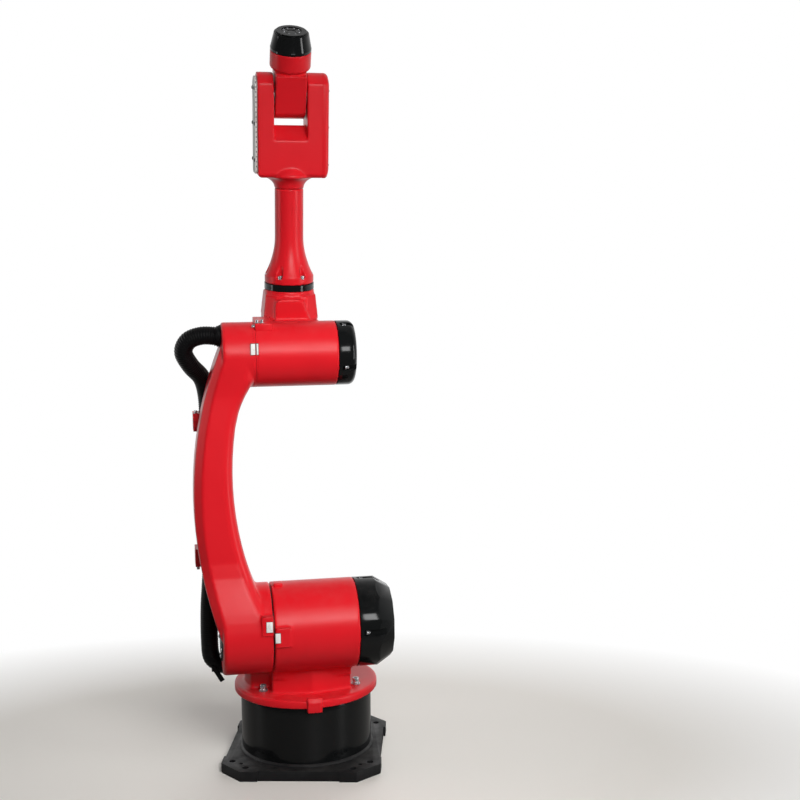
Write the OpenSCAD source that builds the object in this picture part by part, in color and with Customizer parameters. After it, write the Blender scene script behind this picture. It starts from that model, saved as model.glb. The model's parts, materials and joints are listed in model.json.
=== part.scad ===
// Six-axis industrial robot arm, floor standing, millimetres.
// Frame: origin on the first axis at floor level, +Z up, base plate square with X and Y.
// The arm stands in the pose of the photograph: turret turned, forearm and wrist leaning forward.

/* [Pose] */
// Turn of the turret on the base, degrees
turret_turn = 13.2; // [-165:0.1:165]
// Lean of the forearm to the front, degrees
forearm_lean = 10; // [-30:0.5:150]
// Further lean of the wrist to the front, degrees
wrist_lean = 20.5; // [-115:0.5:115]

/* [Layout of the axes] */
// Height of the shoulder axis over the floor
shoulder_height = 367; // [300:1:450]
// Shoulder axis in front of the first axis
shoulder_forward = 109; // [0:1:200]
// Shoulder axis to elbow axis
arm_length = 669; // [400:1:1000]
// Fourth axis behind the elbow axis
forearm_setback = 151; // [0:1:250]
// Fourth axis to the left of the first axis
forearm_side = 22; // [0:1:60]
// Elbow axis to wrist axis, along the forearm
forearm_length = 597; // [400:1:900]

/* [Base] */
// Side of the square base plate
plate_size = 395; // [300:1:600]
// Thickness of the base plate
plate_t = 25; // [10:1:50]
// Corner cut of the base plate
plate_corner = 55; // [0:1:100]
// Set-back of the plate edge between its corner feet
edge_recess = 5; // [0:0.5:20]
// Length of the set-back edge
edge_recess_length = 200; // [50:1:300]
// Anchor hole from the axis, long way
anchor_far = 171; // [100:1:250]
// Anchor hole from the axis, short way
anchor_near = 132; // [50:1:250]
// Diameter of the anchor holes
anchor_d = 16; // [8:0.5:30]
// Levelling hole from the axis, both ways
level_at = 147; // [100:1:200]
// Diameter of the levelling holes
level_d = 10; // [4:0.5:20]
// Diameter of the base drum
drum_d = 331; // [250:1:450]
// Top of the base drum over the floor
drum_top = 173; // [100:1:250]
// Wall of the base drum
drum_wall = 20; // [6:1:40]
// Diameter of the foot flange under the drum
drum_foot_d = 341; // [250:1:450]
// Height of the foot flange under the drum
drum_foot_t = 5; // [1:0.5:20]
// Diameter of the slewing bearing
bearing_d = 304; // [150:1:350]
// Bore of the slewing bearing
bearing_bore = 120; // [20:1:200]
// Depth of the slewing bearing in the drum
bearing_t = 24; // [5:1:60]
// Width of the rear connector box
box_w = 130; // [50:1:250]
// Reach of the rear connector box out of the drum
box_reach = 26.5; // [5:0.5:100]
// Height of the rear connector box
box_h = 104; // [30:1:140]
// Height of the box over the plate
box_rise = 12; // [0:1:60]

/* [Turret] */
// Diameter of the turret ring
ring_d = 363; // [250:1:450]
// Underside of the turret ring over the floor
ring_bottom = 176; // [100:1:250]
// Thickness of the turret ring
ring_t = 20.5; // [8:0.5:40]
// Edge chamfer of the turret ring
ring_edge = 3; // [0:0.5:10]
// Width of the zero mark block at the ring
mark_w = 45; // [10:1:80]
// Width of the zero mark block at its front
mark_front_w = 34; // [10:1:80]
// Top of the zero mark block over the ring underside
mark_top = 28; // [10:1:60]
// Drop of the zero mark block under the ring
mark_drop = 7; // [0:1:40]
// Front of the zero mark block from the axis
mark_reach = 191; // [150:1:250]
// Slope at the top of the zero mark block, along and down
mark_slope = 6; // [1:0.5:15]
mark_slope_h = 11; // [1:0.5:20]
// Column to the left of the axis
column_left = 95.5; // [50:1:150]
// Column to the right of the axis
column_right = 100; // [50:1:150]
// Column corner in front of the axis
column_front = 110; // [50:1:160]
// Front crease of the column in front of the axis
column_crease = 131; // [50:1:170]
// Column behind the axis
column_back = 66; // [20:1:160]
// Top of the plain column behind the shoulder
column_top = 300; // [250:1:340]
// Radius of the blend between shoulder and column
column_blend = 30; // [5:1:60]
// Width of the zero mark pad of the shoulder housing
pad_w = 36; // [10:0.5:60]
// Height of the zero mark pads at the shoulder seam
pad_h = 48; // [10:1:60]
// Zero mark pads proud of the castings
pad_proud = 2; // [1:0.5:8]
// Bottom of the zero mark pad of the housing, from the shoulder axis
pad_low = -20; // [-60:1:20]
// Width of the zero mark pad of the arm
arm_pad_w = 27; // [10:0.5:60]
// Rise of the pad of the arm over that of the housing
arm_pad_rise = 29; // [0:1:50]
// Diameter of the wide column foot
foot_d = 312; // [200:1:360]
// Front of the wide column foot from the axis
foot_front = 62; // [0:1:150]
// Height of the wide column foot over the ring
foot_h = 46; // [10:1:60]
// Width of the rear web
web_w = 150; // [40:1:190]
// Rise of the rear web behind the shoulder housing, over the shoulder axis
web_rise = 80; // [20:1:100]
// Radius of the shoulder housing
shoulder_r = 109.5; // [60:0.5:160]
// Left end of the shoulder housing from the axis
shoulder_left = 95.5; // [50:0.5:150]
// Right end of the shoulder housing from the axis
shoulder_right = 110; // [50:0.5:200]
// Bore through the turret for the cables
turret_bore = 60; // [10:1:120]
// Side of the first motor
motor1_side = 86; // [40:1:130]
// Height of the first motor
motor1_h = 128; // [60:1:200]
// Centre of the first motor behind the axis
motor1_back = 120; // [60:1:150]
// Corner cut of the motors
motor_corner = 10; // [2:1:30]
// Width, depth and height of the connector on the first motor
socket_w = 48; // [20:1:80]
socket_l = 54; // [20:1:80]
socket_h = 22; // [8:1:50]

/* [Motor covers] */
// Length of the round part of the shoulder motor cover
cover2_round = 46; // [10:1:100]
// Whole length of the shoulder motor cover
cover2_length = 86; // [20:1:150]
// Radius of the end face of the shoulder motor cover
cover2_end_r = 85; // [30:1:120]
// Flats around the end of the shoulder motor cover
cover2_flats = 12; // [6:1:12]
// Length of the round part of the elbow motor cover
cover3_round = 27; // [10:1:60]
// Whole length of the elbow motor cover
cover3_length = 43; // [20:1:100]
// Radius of the end face of the elbow motor cover
cover3_end_r = 63; // [30:1:90]
// Width of the screw slots in the covers
slot_w = 15; // [5:0.5:30]
// Depth of the screw slots in the covers
slot_depth = 11; // [3:0.5:25]
// Start of the screw slots from the cover seam
slot_start = 14; // [5:0.5:40]
// Number of screw slots
slot_count = 4; // [2:1:8]
// Turn of the screw slots of the elbow cover, degrees
slot_turn = 15; // [0:1:90]
// Gap between a housing and its cover
seam_gap = 0.6; // [0:0.1:3]

/* [Lower arm] */
// Left end of the shoulder head
head2_left = 216; // [150:1:300]
// Right end of the shoulder head
head2_right = 98.5; // [50:0.5:150]
// Left end of the elbow head
head3_left = 200.5; // [150:0.5:300]
// Right end of the elbow head
head3_right = 125; // [50:0.5:180]
// Radius of the elbow head and elbow housing
elbow_r = 78; // [40:0.5:120]
// Edge chamfer of the shoulder head
head_edge = 4.5; // [1:0.5:20]
// Edge chamfer of the elbow head
head3_edge = 3; // [1:0.5:20]
// Radius of the outer bow of the arm
bow_out_r = 983; // [600:1:1500]
// Centre of the outer bow to the right of the axis
bow_out_x = 708; // [300:1:1300]
// Centre of the outer bow over the shoulder axis
bow_out_z = 323; // [200:1:500]
// Radius of the inner bow of the arm
bow_in_r = 770; // [400:1:1500]
// Centre of the inner bow to the right of the axis
bow_in_x = 588; // [200:1:1300]
// Centre of the inner bow over the shoulder axis
bow_in_z = 380; // [200:1:500]
// Half depth of the arm in its middle
arm_half_depth = 62; // [40:1:100]
// Depth of the arm behind the shoulder axis
arm_low_depth = 103; // [50:1:109]
// Depth of the arm behind the elbow axis
arm_high_depth = 73; // [40:1:77]
// Height over the shoulder where the back of the arm has its middle depth
arm_flare_low = 142; // [80:1:300]
// Drop under the elbow where the back of the arm has its middle depth
arm_flare_high = 135; // [80:1:300]
// Height over the shoulder where the front of the arm has its middle depth
arm_front_low = 185; // [80:1:300]
// Drop under the elbow where the front of the arm has its middle depth
arm_front_high = 110; // [80:1:300]
// Blend of the arm into the underside of the elbow head
arm_fillet = 14.5; // [0:0.5:30]
// Start of that blend, under the elbow head
arm_fillet_h = 91; // [30:1:200]
// Chamfer of the outer edges of the arm
arm_chamfer = 20; // [4:1:40]
// Radius of the inner edges of the arm
arm_round = 24; // [4:1:40]
// Diameter of the cover plate on the shoulder head
cover_plate_d = 150; // [60:1:200]
// Thickness of the cover plate on the shoulder head
cover_plate_t = 3; // [1:0.5:10]
// Diameter of the reducer rings in the seams
reducer2_d = 196; // [80:1:210]
// Diameter of the elbow reducer ring
reducer3_d = 136; // [60:1:150]
// Running clearance at the reducer rings
run_gap = 0.3; // [0.1:0.1:1]

/* [Hose] */
// Diameter of the cable hose
hose_d = 44; // [20:1:60]
// Diameter of the hose glands
gland_d = 54; // [30:1:80]
// Length of the hose glands
gland_l = 8; // [5:1:40]
// Hose behind the arm, from the arm axis plane
hose_back = 92; // [60:1:140]
// Drop of the upper clamp under the elbow axis
clamp_high = 167; // [150:1:300]
// Height of the lower clamp over the shoulder axis
clamp_low = 166; // [100:1:300]
// Height of the hose clamps
clamp_h = 44; // [10:1:80]
// Right face of the lower gland bracket, from the axis
bracket_right = 187; // [150:0.5:200]
// Clamps to the left of the arm outline
clamp_reach = 10; // [0:1:30]
// Wall of the hose clamps and of the lower gland
clamp_wall = 7; // [3:0.5:15]

/* [Elbow] */
// Left end of the elbow housing
elbow_left = 122.5; // [80:0.5:180]
// Right end of the elbow housing
elbow_right = 73; // [30:0.5:150]
// Half width of the elbow rear body
rear_half_w = 65; // [30:1:90]
// Reach of the elbow rear body behind the elbow axis
rear_reach = 216; // [120:1:300]
// Top of the elbow rear body over the elbow axis
rear_top = 64; // [20:1:100]
// Bottom of the elbow rear body under the elbow axis
rear_drop = 70; // [20:1:100]
// Half width of the neck at its foot
neck_half_w = 68; // [40:1:90]
// Corner cut of the neck
neck_corner = 26; // [5:1:40]
// Left half width of the front boss of the neck
boss_half_w = 42; // [10:1:60]
// Boss proud of the neck
boss_proud = 5; // [1:0.5:15]
// Top of the boss over the elbow axis
boss_top = 116; // [80:1:130]
// Corner radius of the boss
boss_round = 17; // [2:1:40]
// Right half width of the boss at its top
boss_top_w = 31; // [20:1:60]
// Right half width of the boss at its foot
boss_foot_w = 50; // [20:1:66]
// Underside of the seal ring over the elbow axis
seal_bottom = 132; // [80:1:200]
// Radius of the seal ring
seal_r = 61.5; // [40:0.5:90]
// Thickness of the seal ring
seal_t = 15; // [5:0.5:30]
// Height of the round seat under the seal ring
seal_seat = 10; // [2:0.5:20]
// Width of the top block of the elbow
block_w = 40; // [20:1:80]
// Depth of the top block of the elbow
block_l = 84; // [20:1:120]
// Height of the top block over the elbow housing
block_rise = 5; // [2:0.5:20]
// Reach of the rear motor behind the elbow body
motor4_reach = 70; // [20:1:150]
// Half width of the rear motor
motor4_half_w = 43; // [20:1:80]
// Thickness of the rear cover
rear_cover_t = 6; // [2:0.5:15]

/* [Forearm] */
// Radius of the forearm tube
tube_r = 35; // [20:0.5:60]
// Radius of the foot of the forearm tube
tube_foot_r = 60.5; // [30:0.5:80]
// Height of the straight foot of the tube
tube_foot_h = 18; // [5:1:40]
// Top of the flare over the elbow axis
flare_top = 261; // [180:1:350]
// Bolt pockets in the foot
pocket_count = 6; // [3:1:8]
// Radius of the bolt circle in the foot
pocket_pcd_r = 53; // [30:0.5:70]
// Width of the bolt pockets
pocket_w = 13; // [6:0.5:25]
// Height of the floor of the bolt pockets over the foot
pocket_floor = 14; // [3:0.5:20]
// Underside of the fork neck over the elbow axis
fork_neck_start = 378; // [300:1:500]
// Underside of the fork over the elbow axis
fork_start = 406; // [300:1:500]
// Radius of the neck under the fork
fork_neck_r = 59; // [35:0.5:80]
// Half width of the blend under the fork
fork_neck_side = 72; // [40:1:76]
// Half depth of the fork
fork_half_depth = 46; // [25:0.5:70]
// Radius of the rounded ear ends
ear_r = 54; // [30:0.5:80]
// Left face of the fork from the forearm axis
fork_left = 78.5; // [50:0.5:120]
// Right face of the fork from the forearm axis
fork_right = 78; // [50:0.5:120]
// Half width of the fork slot
fork_slot = 39.5; // [20:0.5:70]
// Ridge of the slot floor under the wrist axis
ridge_drop = 69; // [50:1:120]
// Lip of the slot floor under the wrist axis
lip_drop = 102.5; // [60:1:150]
// Half width of the ridge
ridge_half = 8; // [1:0.5:30]
// Corner cut of the fork
fork_corner = 8; // [1:0.5:20]
// Thickness of the pale left cover
side_cover_t = 6; // [1:0.5:10]
// Set-back of the pale left cover from the fork edges
side_cover_inset = 9; // [2:0.5:20]
// Thickness of the right belt cover
belt_cover_t = 13.5; // [4:0.5:30]
// Rounding of the edges of the right belt cover
belt_cover_edge = 10; // [1:0.5:15]
// Rounding of the underside of the fork at its left face
fork_round = 10; // [1:0.5:30]

/* [Wrist] */
// Half width of the wrist body
wrist_half_w = 36.5; // [20:0.5:60]
// Radius of the wrist body around its axis
wrist_r = 54; // [30:0.5:70]
// Half depth of the wrist body
wrist_half_depth = 47.5; // [20:0.5:60]
// Underside of the wrist collar over the wrist axis
collar_start = 65; // [40:0.5:120]
// Height of the collar chamfer
collar_chamfer = 9; // [1:0.5:20]
// Radius of the wrist collar
collar_r = 48.5; // [30:0.5:70]
// Underside of the black nose over the wrist axis
nose_start = 114; // [60:0.5:150]
// Radius of the nose at its foot
nose_r = 48.5; // [30:0.5:70]
// Radius of the nose at its top
nose_top_r = 41; // [20:0.5:60]
// Height of the straight foot of the nose
nose_foot = 6; // [1:0.5:15]
// Edge chamfer of the nose
nose_edge = 2; // [0.5:0.5:6]
// Top of the nose over the wrist axis
nose_top = 155.5; // [100:0.5:200]
// Face of the tool flange over the wrist axis
flange_face = 158.5; // [100:0.5:220]
// Radius of the tool flange
flange_r = 36; // [20:0.5:60]
// Bolt circle of the tool flange
flange_pcd = 31.5; // [20:0.5:100]
// Number of flange holes
flange_holes = 4; // [3:1:8]
// Diameter of the flange holes
flange_hole_d = 5; // [3:0.5:12]
// Depth of the flange holes
flange_hole_depth = 4.4; // [2:0.1:20]
// Diameter of the centring bore
flange_bore = 20; // [6:0.5:50]
// Diameter of the wrist hubs
hub_d = 64; // [20:1:90]

/* [Hidden] */
$fn = 96;
// Overlap of joined shapes, and the reach of cutting tools
lap = 2;
pad_depth = 12;
plate_gap = 4;
web_slope = 46;
web_slope_h = 30;
hose_gap = 1;
seat_gap = 0.1;
far = 400;
red = [0.78, 0.08, 0.12];
black = [0.07, 0.07, 0.08];
steel = [0.55, 0.56, 0.58];
pale = [0.80, 0.80, 0.78];
// Control points of the hose centre line, from the shoulder axis
hose_high = arm_length - clamp_high;
function hose_between(t) = clamp_low + (hose_high - clamp_low) * t;
hose_end = bracket_right + clamp_wall + 2 * hose_gap;
hose_points = [
    [-150, 0, arm_length + 45], [-head3_left - 2 * hose_gap, 0, arm_length + 45], [-244, 2, arm_length + 47],
    [-276, 12, arm_length + 35], [-288, 26, arm_length + 7], [-271, 46, arm_length - 27],
    [-245, 73, arm_length - 59], [-234, hose_back - 3, arm_length - 102],
    [-232, hose_back, hose_high], [-235, hose_back, hose_between(0.756)],
    [-239, hose_back, hose_between(0.488)], [-235, hose_back, hose_between(0.22)],
    [-231, hose_back, clamp_low], [-236, hose_back + 5, 95], [-241, hose_back + 9, 25],
    [-242, hose_back + 10, -50], [-238, hose_back + 9, -97], [-hose_end - 20, hose_back + 8, -115],
    [-hose_end, hose_back + 8, -116], [-160, hose_back + 8, -116]];
hose_steps = 3;
hose_sides = 12;
cover_pieces = 6;

// Places
module in_turret() { rotate([0, 0, turret_turn]) children(); }
module at_shoulder() { in_turret() translate([0, -shoulder_forward, shoulder_height]) children(); }
module at_elbow() { at_shoulder() translate([0, 0, arm_length]) rotate([forearm_lean, 0, 0]) children(); }
module at_forearm() { at_elbow() translate([-forearm_side, forearm_setback, 0]) children(); }
module at_wrist() {
    at_forearm() translate([0, 0, forearm_length]) rotate([wrist_lean, 0, 0]) children();
}

// Shapes along X
module rod_x(x0, x1, r) { translate([x0, 0, 0]) rotate([0, 90, 0]) cylinder(r = r, h = x1 - x0); }
module cone_x(x0, x1, r0, r1) {
    translate([x0, 0, 0]) rotate([0, 90, 0]) cylinder(r1 = r0, r2 = r1, h = x1 - x0);
}
// A drawing in Y and Z drawn out along X
module sheet_x(x0, x1) { translate([x0, 0, 0]) rotate([90, 0, 90]) linear_extrude(x1 - x0) children(); }
module block(x0, x1, y0, y1, z0, z1) { translate([x0, y0, z0]) cube([x1 - x0, y1 - y0, z1 - z0]); }

// A skin over rings of points, each ring anticlockwise seen from the far end
module skin(rings) {
    n = len(rings[0]);
    m = len(rings);
    polyhedron(
        points = [for (r = rings) for (p = r) p],
        faces = concat(
            [[for (j = [0:n - 1]) j]],
            [[for (j = [n - 1:-1:0]) (m - 1) * n + j]],
            [for (i = [0:m - 2]) for (j = [0:n - 1])
                [i * n + j, (i + 1) * n + j, (i + 1) * n + (j + 1) % n]],
            [for (i = [0:m - 2]) for (j = [0:n - 1])
                [i * n + j, (i + 1) * n + (j + 1) % n, i * n + (j + 1) % n]]));
}

function unit(v) = v / norm(v);
function ease(t) = let (u = min(1, max(0, t))) u * u * (3 - 2 * u);

// Arm outline at a height over the shoulder axis
function bow(x, r, up, z) = x - sqrt(r * r - pow(z * bow_span / arm_length - up, 2));
function arm_left_x(z) = bow(bow_out_x, bow_out_r, bow_out_z, z);
function arm_right_x(z) = z * bow_span / arm_length < bow_in_z
    ? min(-head2_right - lap, bow(bow_in_x, bow_in_r, bow_in_z, z))
    : min(-head3_right - lap, bow(bow_in_x, bow_in_r, bow_in_z, z)
        + arm_fillet * pow(max(0, (z - arm_length + elbow_r) / arm_fillet_h + 1), 2));
function arm_depth(z, low, high, flare_low, flare_high) = z > arm_length
    ? sqrt(high * high - (z - arm_length) * (z - arm_length))
    : z < 0 ? sqrt(low * low - z * z)
    : arm_half_depth + (low - arm_half_depth) * ease(1 - z / flare_low)
        + (high - arm_half_depth) * ease(1 - (arm_length - z) / flare_high);
arm_edge_pieces = 4;
function arm_ring(z) = let (l = arm_left_x(z), r = arm_right_x(z), k = arm_edge_pieces,
        g = arm_depth(z, shoulder_r - run_gap, elbow_r - run_gap, arm_front_low, arm_front_high),
        d = arm_depth(z, arm_low_depth, arm_high_depth, arm_flare_low, arm_flare_high),
        c = min(arm_chamfer, d / 2), f = min(arm_round, d / 2))
    concat([[l, -g + c, z], [l + c, -g, z]],
        [for (i = [0:k]) let (a = -90 + 90 * i / k) [r - f + f * cos(a), -g + f + f * sin(a), z]],
        [for (i = [0:k]) let (a = 90 * i / k) [r - f + f * cos(a), d - f + f * sin(a), z]],
        [[l + c, d, z], [l, d - c, z]]);
// Shoulder to elbow distance that the bows are drawn for
bow_span = 669;
arm_low_end = -48;
arm_high_end = 56;
function levels(a, b, n) = [for (i = [0:n - 1]) a + (b - a) * i / n];
arm_levels = concat(levels(arm_low_end, 0, 3), levels(0, arm_flare_low, 7),
    levels(arm_flare_low, arm_length - arm_flare_high, 11),
    levels(arm_length - arm_flare_high, arm_length, 7),
    levels(arm_length, arm_length + arm_high_end, 3), [arm_length + arm_high_end]);

// Hose centre line
function curve(a, b, c, d, t) = 0.5 * (2 * b + (c - a) * t + (2 * a - 5 * b + 4 * c - d) * t * t
    + (3 * b - a - 3 * c + d) * t * t * t);
hose_line = [for (i = [1:len(hose_points) - 3]) for (j = [0:hose_steps - (i < len(hose_points) - 3 ? 1 : 0)])
    curve(hose_points[i - 1], hose_points[i], hose_points[i + 1], hose_points[i + 2], j / hose_steps)];
function hose_way(i) = unit(hose_line[min(i + 1, len(hose_line) - 1)] - hose_line[max(i - 1, 0)]);
function hose_ring(i) = let (t = hose_way(i), n = unit(cross(t, [0, 1, 0])), b = cross(t, n))
    [for (j = [0:hose_sides - 1]) let (a = 360 * j / hose_sides)
        hose_line[i] + hose_d / 2 * (cos(a) * n + sin(a) * b)];

// Base
module base_plate() {
    half = plate_size / 2;
    inner = half - plate_corner;
    cut = plate_t + 2 * lap;
    color(black) difference() {
        linear_extrude(plate_t) polygon([[-half, -inner], [-inner, -half], [inner, -half], [half, -inner],
            [half, inner], [inner, half], [-inner, half], [-half, inner]]);
        for (a = [0:90:270]) rotate([0, 0, a])
            block(half - edge_recess, half + lap, -edge_recess_length / 2, edge_recess_length / 2,
                -lap, plate_t + lap);
        for (sx = [-1, 1]) for (sy = [-1, 1]) {
            translate([sx * anchor_far, sy * anchor_near, -lap]) cylinder(d = anchor_d, h = cut);
            translate([sx * anchor_near, sy * anchor_far, -lap]) cylinder(d = anchor_d, h = cut);
            translate([sx * level_at, sy * level_at, -lap]) cylinder(d = level_d, h = cut);
        }
        translate([0, 0, -lap]) cylinder(d = bearing_bore, h = plate_t + 2 * lap);
    }
}

module base_drum() {
    color(black) translate([0, 0, plate_t]) difference() {
        union() {
            cylinder(d = drum_d, h = drum_top - plate_t);
            cylinder(d = drum_foot_d, h = drum_foot_t);
        }
        translate([0, 0, -lap]) cylinder(d = drum_d - 2 * drum_wall, h = drum_top - plate_t + 2 * lap);
    }
}

module slewing_bearing() {
    top = ring_bottom - run_gap;
    color(steel) translate([0, 0, top - bearing_t]) difference() {
        union() {
            cylinder(d = drum_d - 2 * drum_wall, h = bearing_t);
            translate([0, 0, drum_top - top + bearing_t]) cylinder(d = bearing_d, h = top - drum_top);
        }
        translate([0, 0, -lap]) cylinder(d = bearing_bore, h = bearing_t + 2 * lap);
    }
}

module rear_connector_box() {
    end = drum_d / 2 + box_reach;
    color(black) translate([0, 0, plate_t + box_rise]) difference() {
        linear_extrude(box_h) polygon([[-box_w / 2, 0], [box_w / 2, 0],
            [box_w / 2, end - motor_corner], [box_w / 2 - motor_corner, end],
            [-box_w / 2 + motor_corner, end], [-box_w / 2, end - motor_corner]]);
        translate([0, 0, -lap]) cylinder(d = drum_d + 2 * seat_gap, h = box_h + 2 * lap);
    }
}

// Turret
blend_y = -column_front - motor_corner - column_blend;
blend_z = shoulder_height - sqrt(pow(shoulder_r + column_blend, 2) - pow(blend_y + shoulder_forward, 2));
module turret_casting() {
    sy = -shoulder_forward;
    ring_top = ring_bottom + ring_t;
    touch = shoulder_r / (shoulder_r + column_blend);
    color(red) in_turret() difference() {
        union() {
            translate([0, 0, ring_bottom]) rotate_extrude() polygon([[0, 0], [ring_d / 2, 0],
                [ring_d / 2, ring_t - ring_edge], [ring_d / 2 - ring_edge, ring_t], [0, ring_t]]);
            translate([0, 0, ring_top - lap]) linear_extrude(column_top - ring_top + lap) polygon([
                [-column_left, -column_front], [0, -column_crease], [column_right, -column_front],
                [column_right, column_back], [-column_left, column_back]]);
            translate([0, 0, ring_top - lap]) intersection() {
                cylinder(d = foot_d, h = foot_h + lap);
                block(-far, 0, -foot_front, column_back, 0, foot_h + lap);
            }
            translate([0, sy, shoulder_height]) rod_x(-shoulder_left, shoulder_right, shoulder_r);
            sheet_x(-column_left, column_right) difference() {
                polygon([[-column_front, blend_z], [-column_front - motor_corner, blend_z],
                    [sy + touch * (blend_y - sy), shoulder_height + touch * (blend_z - shoulder_height)],
                    [sy, shoulder_height]]);
                translate([blend_y, blend_z]) circle(r = column_blend);
            }
            sheet_x(-web_w / 2, web_w / 2) polygon([[sy, ring_top], [sy, shoulder_height + web_rise],
                [sy + web_rise * 0.75, shoulder_height + web_rise],
                [column_back - web_slope, shoulder_height + web_slope_h], [column_back, column_top],
                [column_back, ring_top]]);
            translate([0, sy, shoulder_height])
                block(-shoulder_left + lap, -shoulder_left + pad_w, -shoulder_r - pad_proud,
                    -shoulder_r + pad_depth, pad_low, pad_low + pad_h);
        }
        translate([0, 0, ring_bottom - lap]) cylinder(d = turret_bore, h = shoulder_height - ring_bottom);
    }
}

module turret_zero_block() {
    color(red) in_turret() difference() {
        translate([0, 0, ring_bottom]) intersection() {
            back = -ring_d / 2 + pad_depth;
            translate([0, 0, -mark_drop]) linear_extrude(mark_drop + mark_top) polygon([[-mark_w / 2, back],
                [-mark_front_w / 2, -mark_reach], [mark_front_w / 2, -mark_reach], [mark_w / 2, back]]);
            sheet_x(-mark_w, mark_w) polygon([[back, -mark_drop], [back, mark_top],
                [mark_slope - mark_reach, mark_top], [-mark_reach, mark_top - mark_slope_h],
                [-mark_reach, -mark_drop]]);
        }
        translate([0, 0, ring_bottom - far / 2]) cylinder(d = ring_d + 2 * seat_gap, h = far);
    }
}

module motor_profile(half, cut) {
    polygon([[-half, -half + cut], [-half + cut, -half], [half - cut, -half], [half, -half + cut],
        [half, half - cut], [half - cut, half], [-half + cut, half], [-half, half - cut]]);
}

module j1_motor() {
    color(black) in_turret() translate([0, motor1_back, ring_bottom + ring_t])
        linear_extrude(motor1_h) motor_profile(motor1_side / 2, motor_corner);
}

module j1_motor_connector() {
    color(black) in_turret() translate([0, motor1_back, ring_bottom + ring_t + motor1_h]) {
        block(-socket_w / 2, socket_w / 2, -socket_l / 2 + motor_corner / 2, socket_l / 2, 0, socket_h);
    }
}

// A motor cover from its seam outward: round part, then an end that narrows to its face
module motor_cover(r, round_l, whole_l, end_r, flats, turn) {
    taper = atan2(r - end_r, whole_l - round_l);
    color(black) difference() {
        if (flats > 0) rod_x(0, whole_l, r);
        else rotate([0, 90, 0]) rotate_extrude() polygon(concat([[0, 0], [r, 0]],
            [for (i = [0:cover_pieces]) let (a = 90 * i / cover_pieces)
                [end_r + (r - end_r) * cos(a), round_l + (whole_l - round_l) * sin(a)]], [[0, whole_l]]));
        if (flats > 0) for (i = [0:flats - 1]) rotate([360 * i / flats, 0, 0])
            translate([round_l, 0, r]) rotate([0, taper, 0]) block(-r, r, -r, r, 0, r);
        for (i = [0:slot_count - 1]) rotate([turn + 360 * i / slot_count, 0, 0])
            translate([slot_start, 0, r - slot_depth]) linear_extrude(slot_depth + lap) union() {
                circle(d = slot_w);
                translate([0, -slot_w / 2]) square([whole_l, slot_w]);
            }
    }
}

module j2_motor_cover() {
    at_shoulder() translate([shoulder_right + seam_gap, 0, 0])
        motor_cover(shoulder_r, cover2_round, cover2_length, cover2_end_r, cover2_flats, 0);
}

// Lower arm
module lower_arm() {
    color(red) at_shoulder() union() {
        difference() {
            skin([for (z = arm_levels) arm_ring(z)]);
            rod_x(-far, -head2_left, cover_plate_d / 2 + plate_gap);
            translate([0, 0, hose_points[1][2]]) rod_x(-far, -head3_left, gland_d / 2 + 1);
        }
        rod_x(-head2_left + head_edge, -head2_right, shoulder_r);
        cone_x(-head2_left, -head2_left + head_edge, shoulder_r - head_edge, shoulder_r);
        translate([0, 0, arm_length]) {
            rod_x(-head3_left + head3_edge, -head3_right, elbow_r);
            cone_x(-head3_left, -head3_left + head3_edge, elbow_r - head3_edge, elbow_r);
        }
        block(-head2_right - arm_pad_w, -head2_right, -shoulder_r - pad_proud, -shoulder_r + pad_depth,
            pad_low + arm_pad_rise, pad_low + arm_pad_rise + pad_h);
    }
}

module j2_reducer_ring() {
    color(steel) at_shoulder() rod_x(-head2_right, -shoulder_left - run_gap, reducer2_d / 2);
}

module j3_reducer_ring() {
    color(steel) at_shoulder() translate([0, 0, arm_length])
        rod_x(-head3_right, -elbow_left - run_gap, reducer3_d / 2);
}

module j2_head_cover() {
    color(black) at_shoulder() rod_x(-head2_left - cover_plate_t, -head2_left, cover_plate_d / 2);
}

// Hose, its glands and clamps
module cable_hose() {
    color(black) at_shoulder() skin([for (i = [0:len(hose_line) - 1]) hose_ring(i)]);
}

module hose_gland_upper() {
    color(black) at_shoulder() translate([0, 0, hose_points[1][2]]) difference() {
        rod_x(-head3_left - gland_l, -head3_left, gland_d / 2);
        rod_x(-head3_left - gland_l - lap, -head3_left + lap, hose_d / 2 + hose_gap);
    }
}

module hose_gland_lower() {
    z = hose_points[18][2];
    y = hose_points[18][1];
    r = gland_d / 2;
    color(black) at_shoulder() difference() {
        sheet_x(-head2_left + head_edge, -bracket_right) union() {
            translate([y, z]) circle(r = r);
            polygon([[y * 0.3, z / 2], [y * 0.3, z - r * 0.3], [y, z - r], [y + r * 0.7, z + r * 0.7],
                [y * 0.6, z / 3]]);
        }
        rod_x(-far, far, shoulder_r + seat_gap);
        translate([0, y, z]) rod_x(-far, -bracket_right - clamp_wall, hose_d / 2 + hose_gap);
    }
}

module hose_clamp(z) {
    y = hose_back;
    x = hose_points[8][0];
    l = arm_left_x(z) - clamp_reach;
    color(red) at_shoulder() difference() {
        block(l, x + hose_d / 2 + clamp_wall, arm_half_depth, y + hose_d / 2 + clamp_wall,
            z - clamp_h / 2, z + clamp_h / 2);
        translate([x, y, z - far / 2]) cylinder(d = hose_d + 3 * hose_gap, h = far);
    }
}

module hose_clamp_upper() { hose_clamp(hose_high); }
module hose_clamp_lower() { hose_clamp(clamp_low); }

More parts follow.
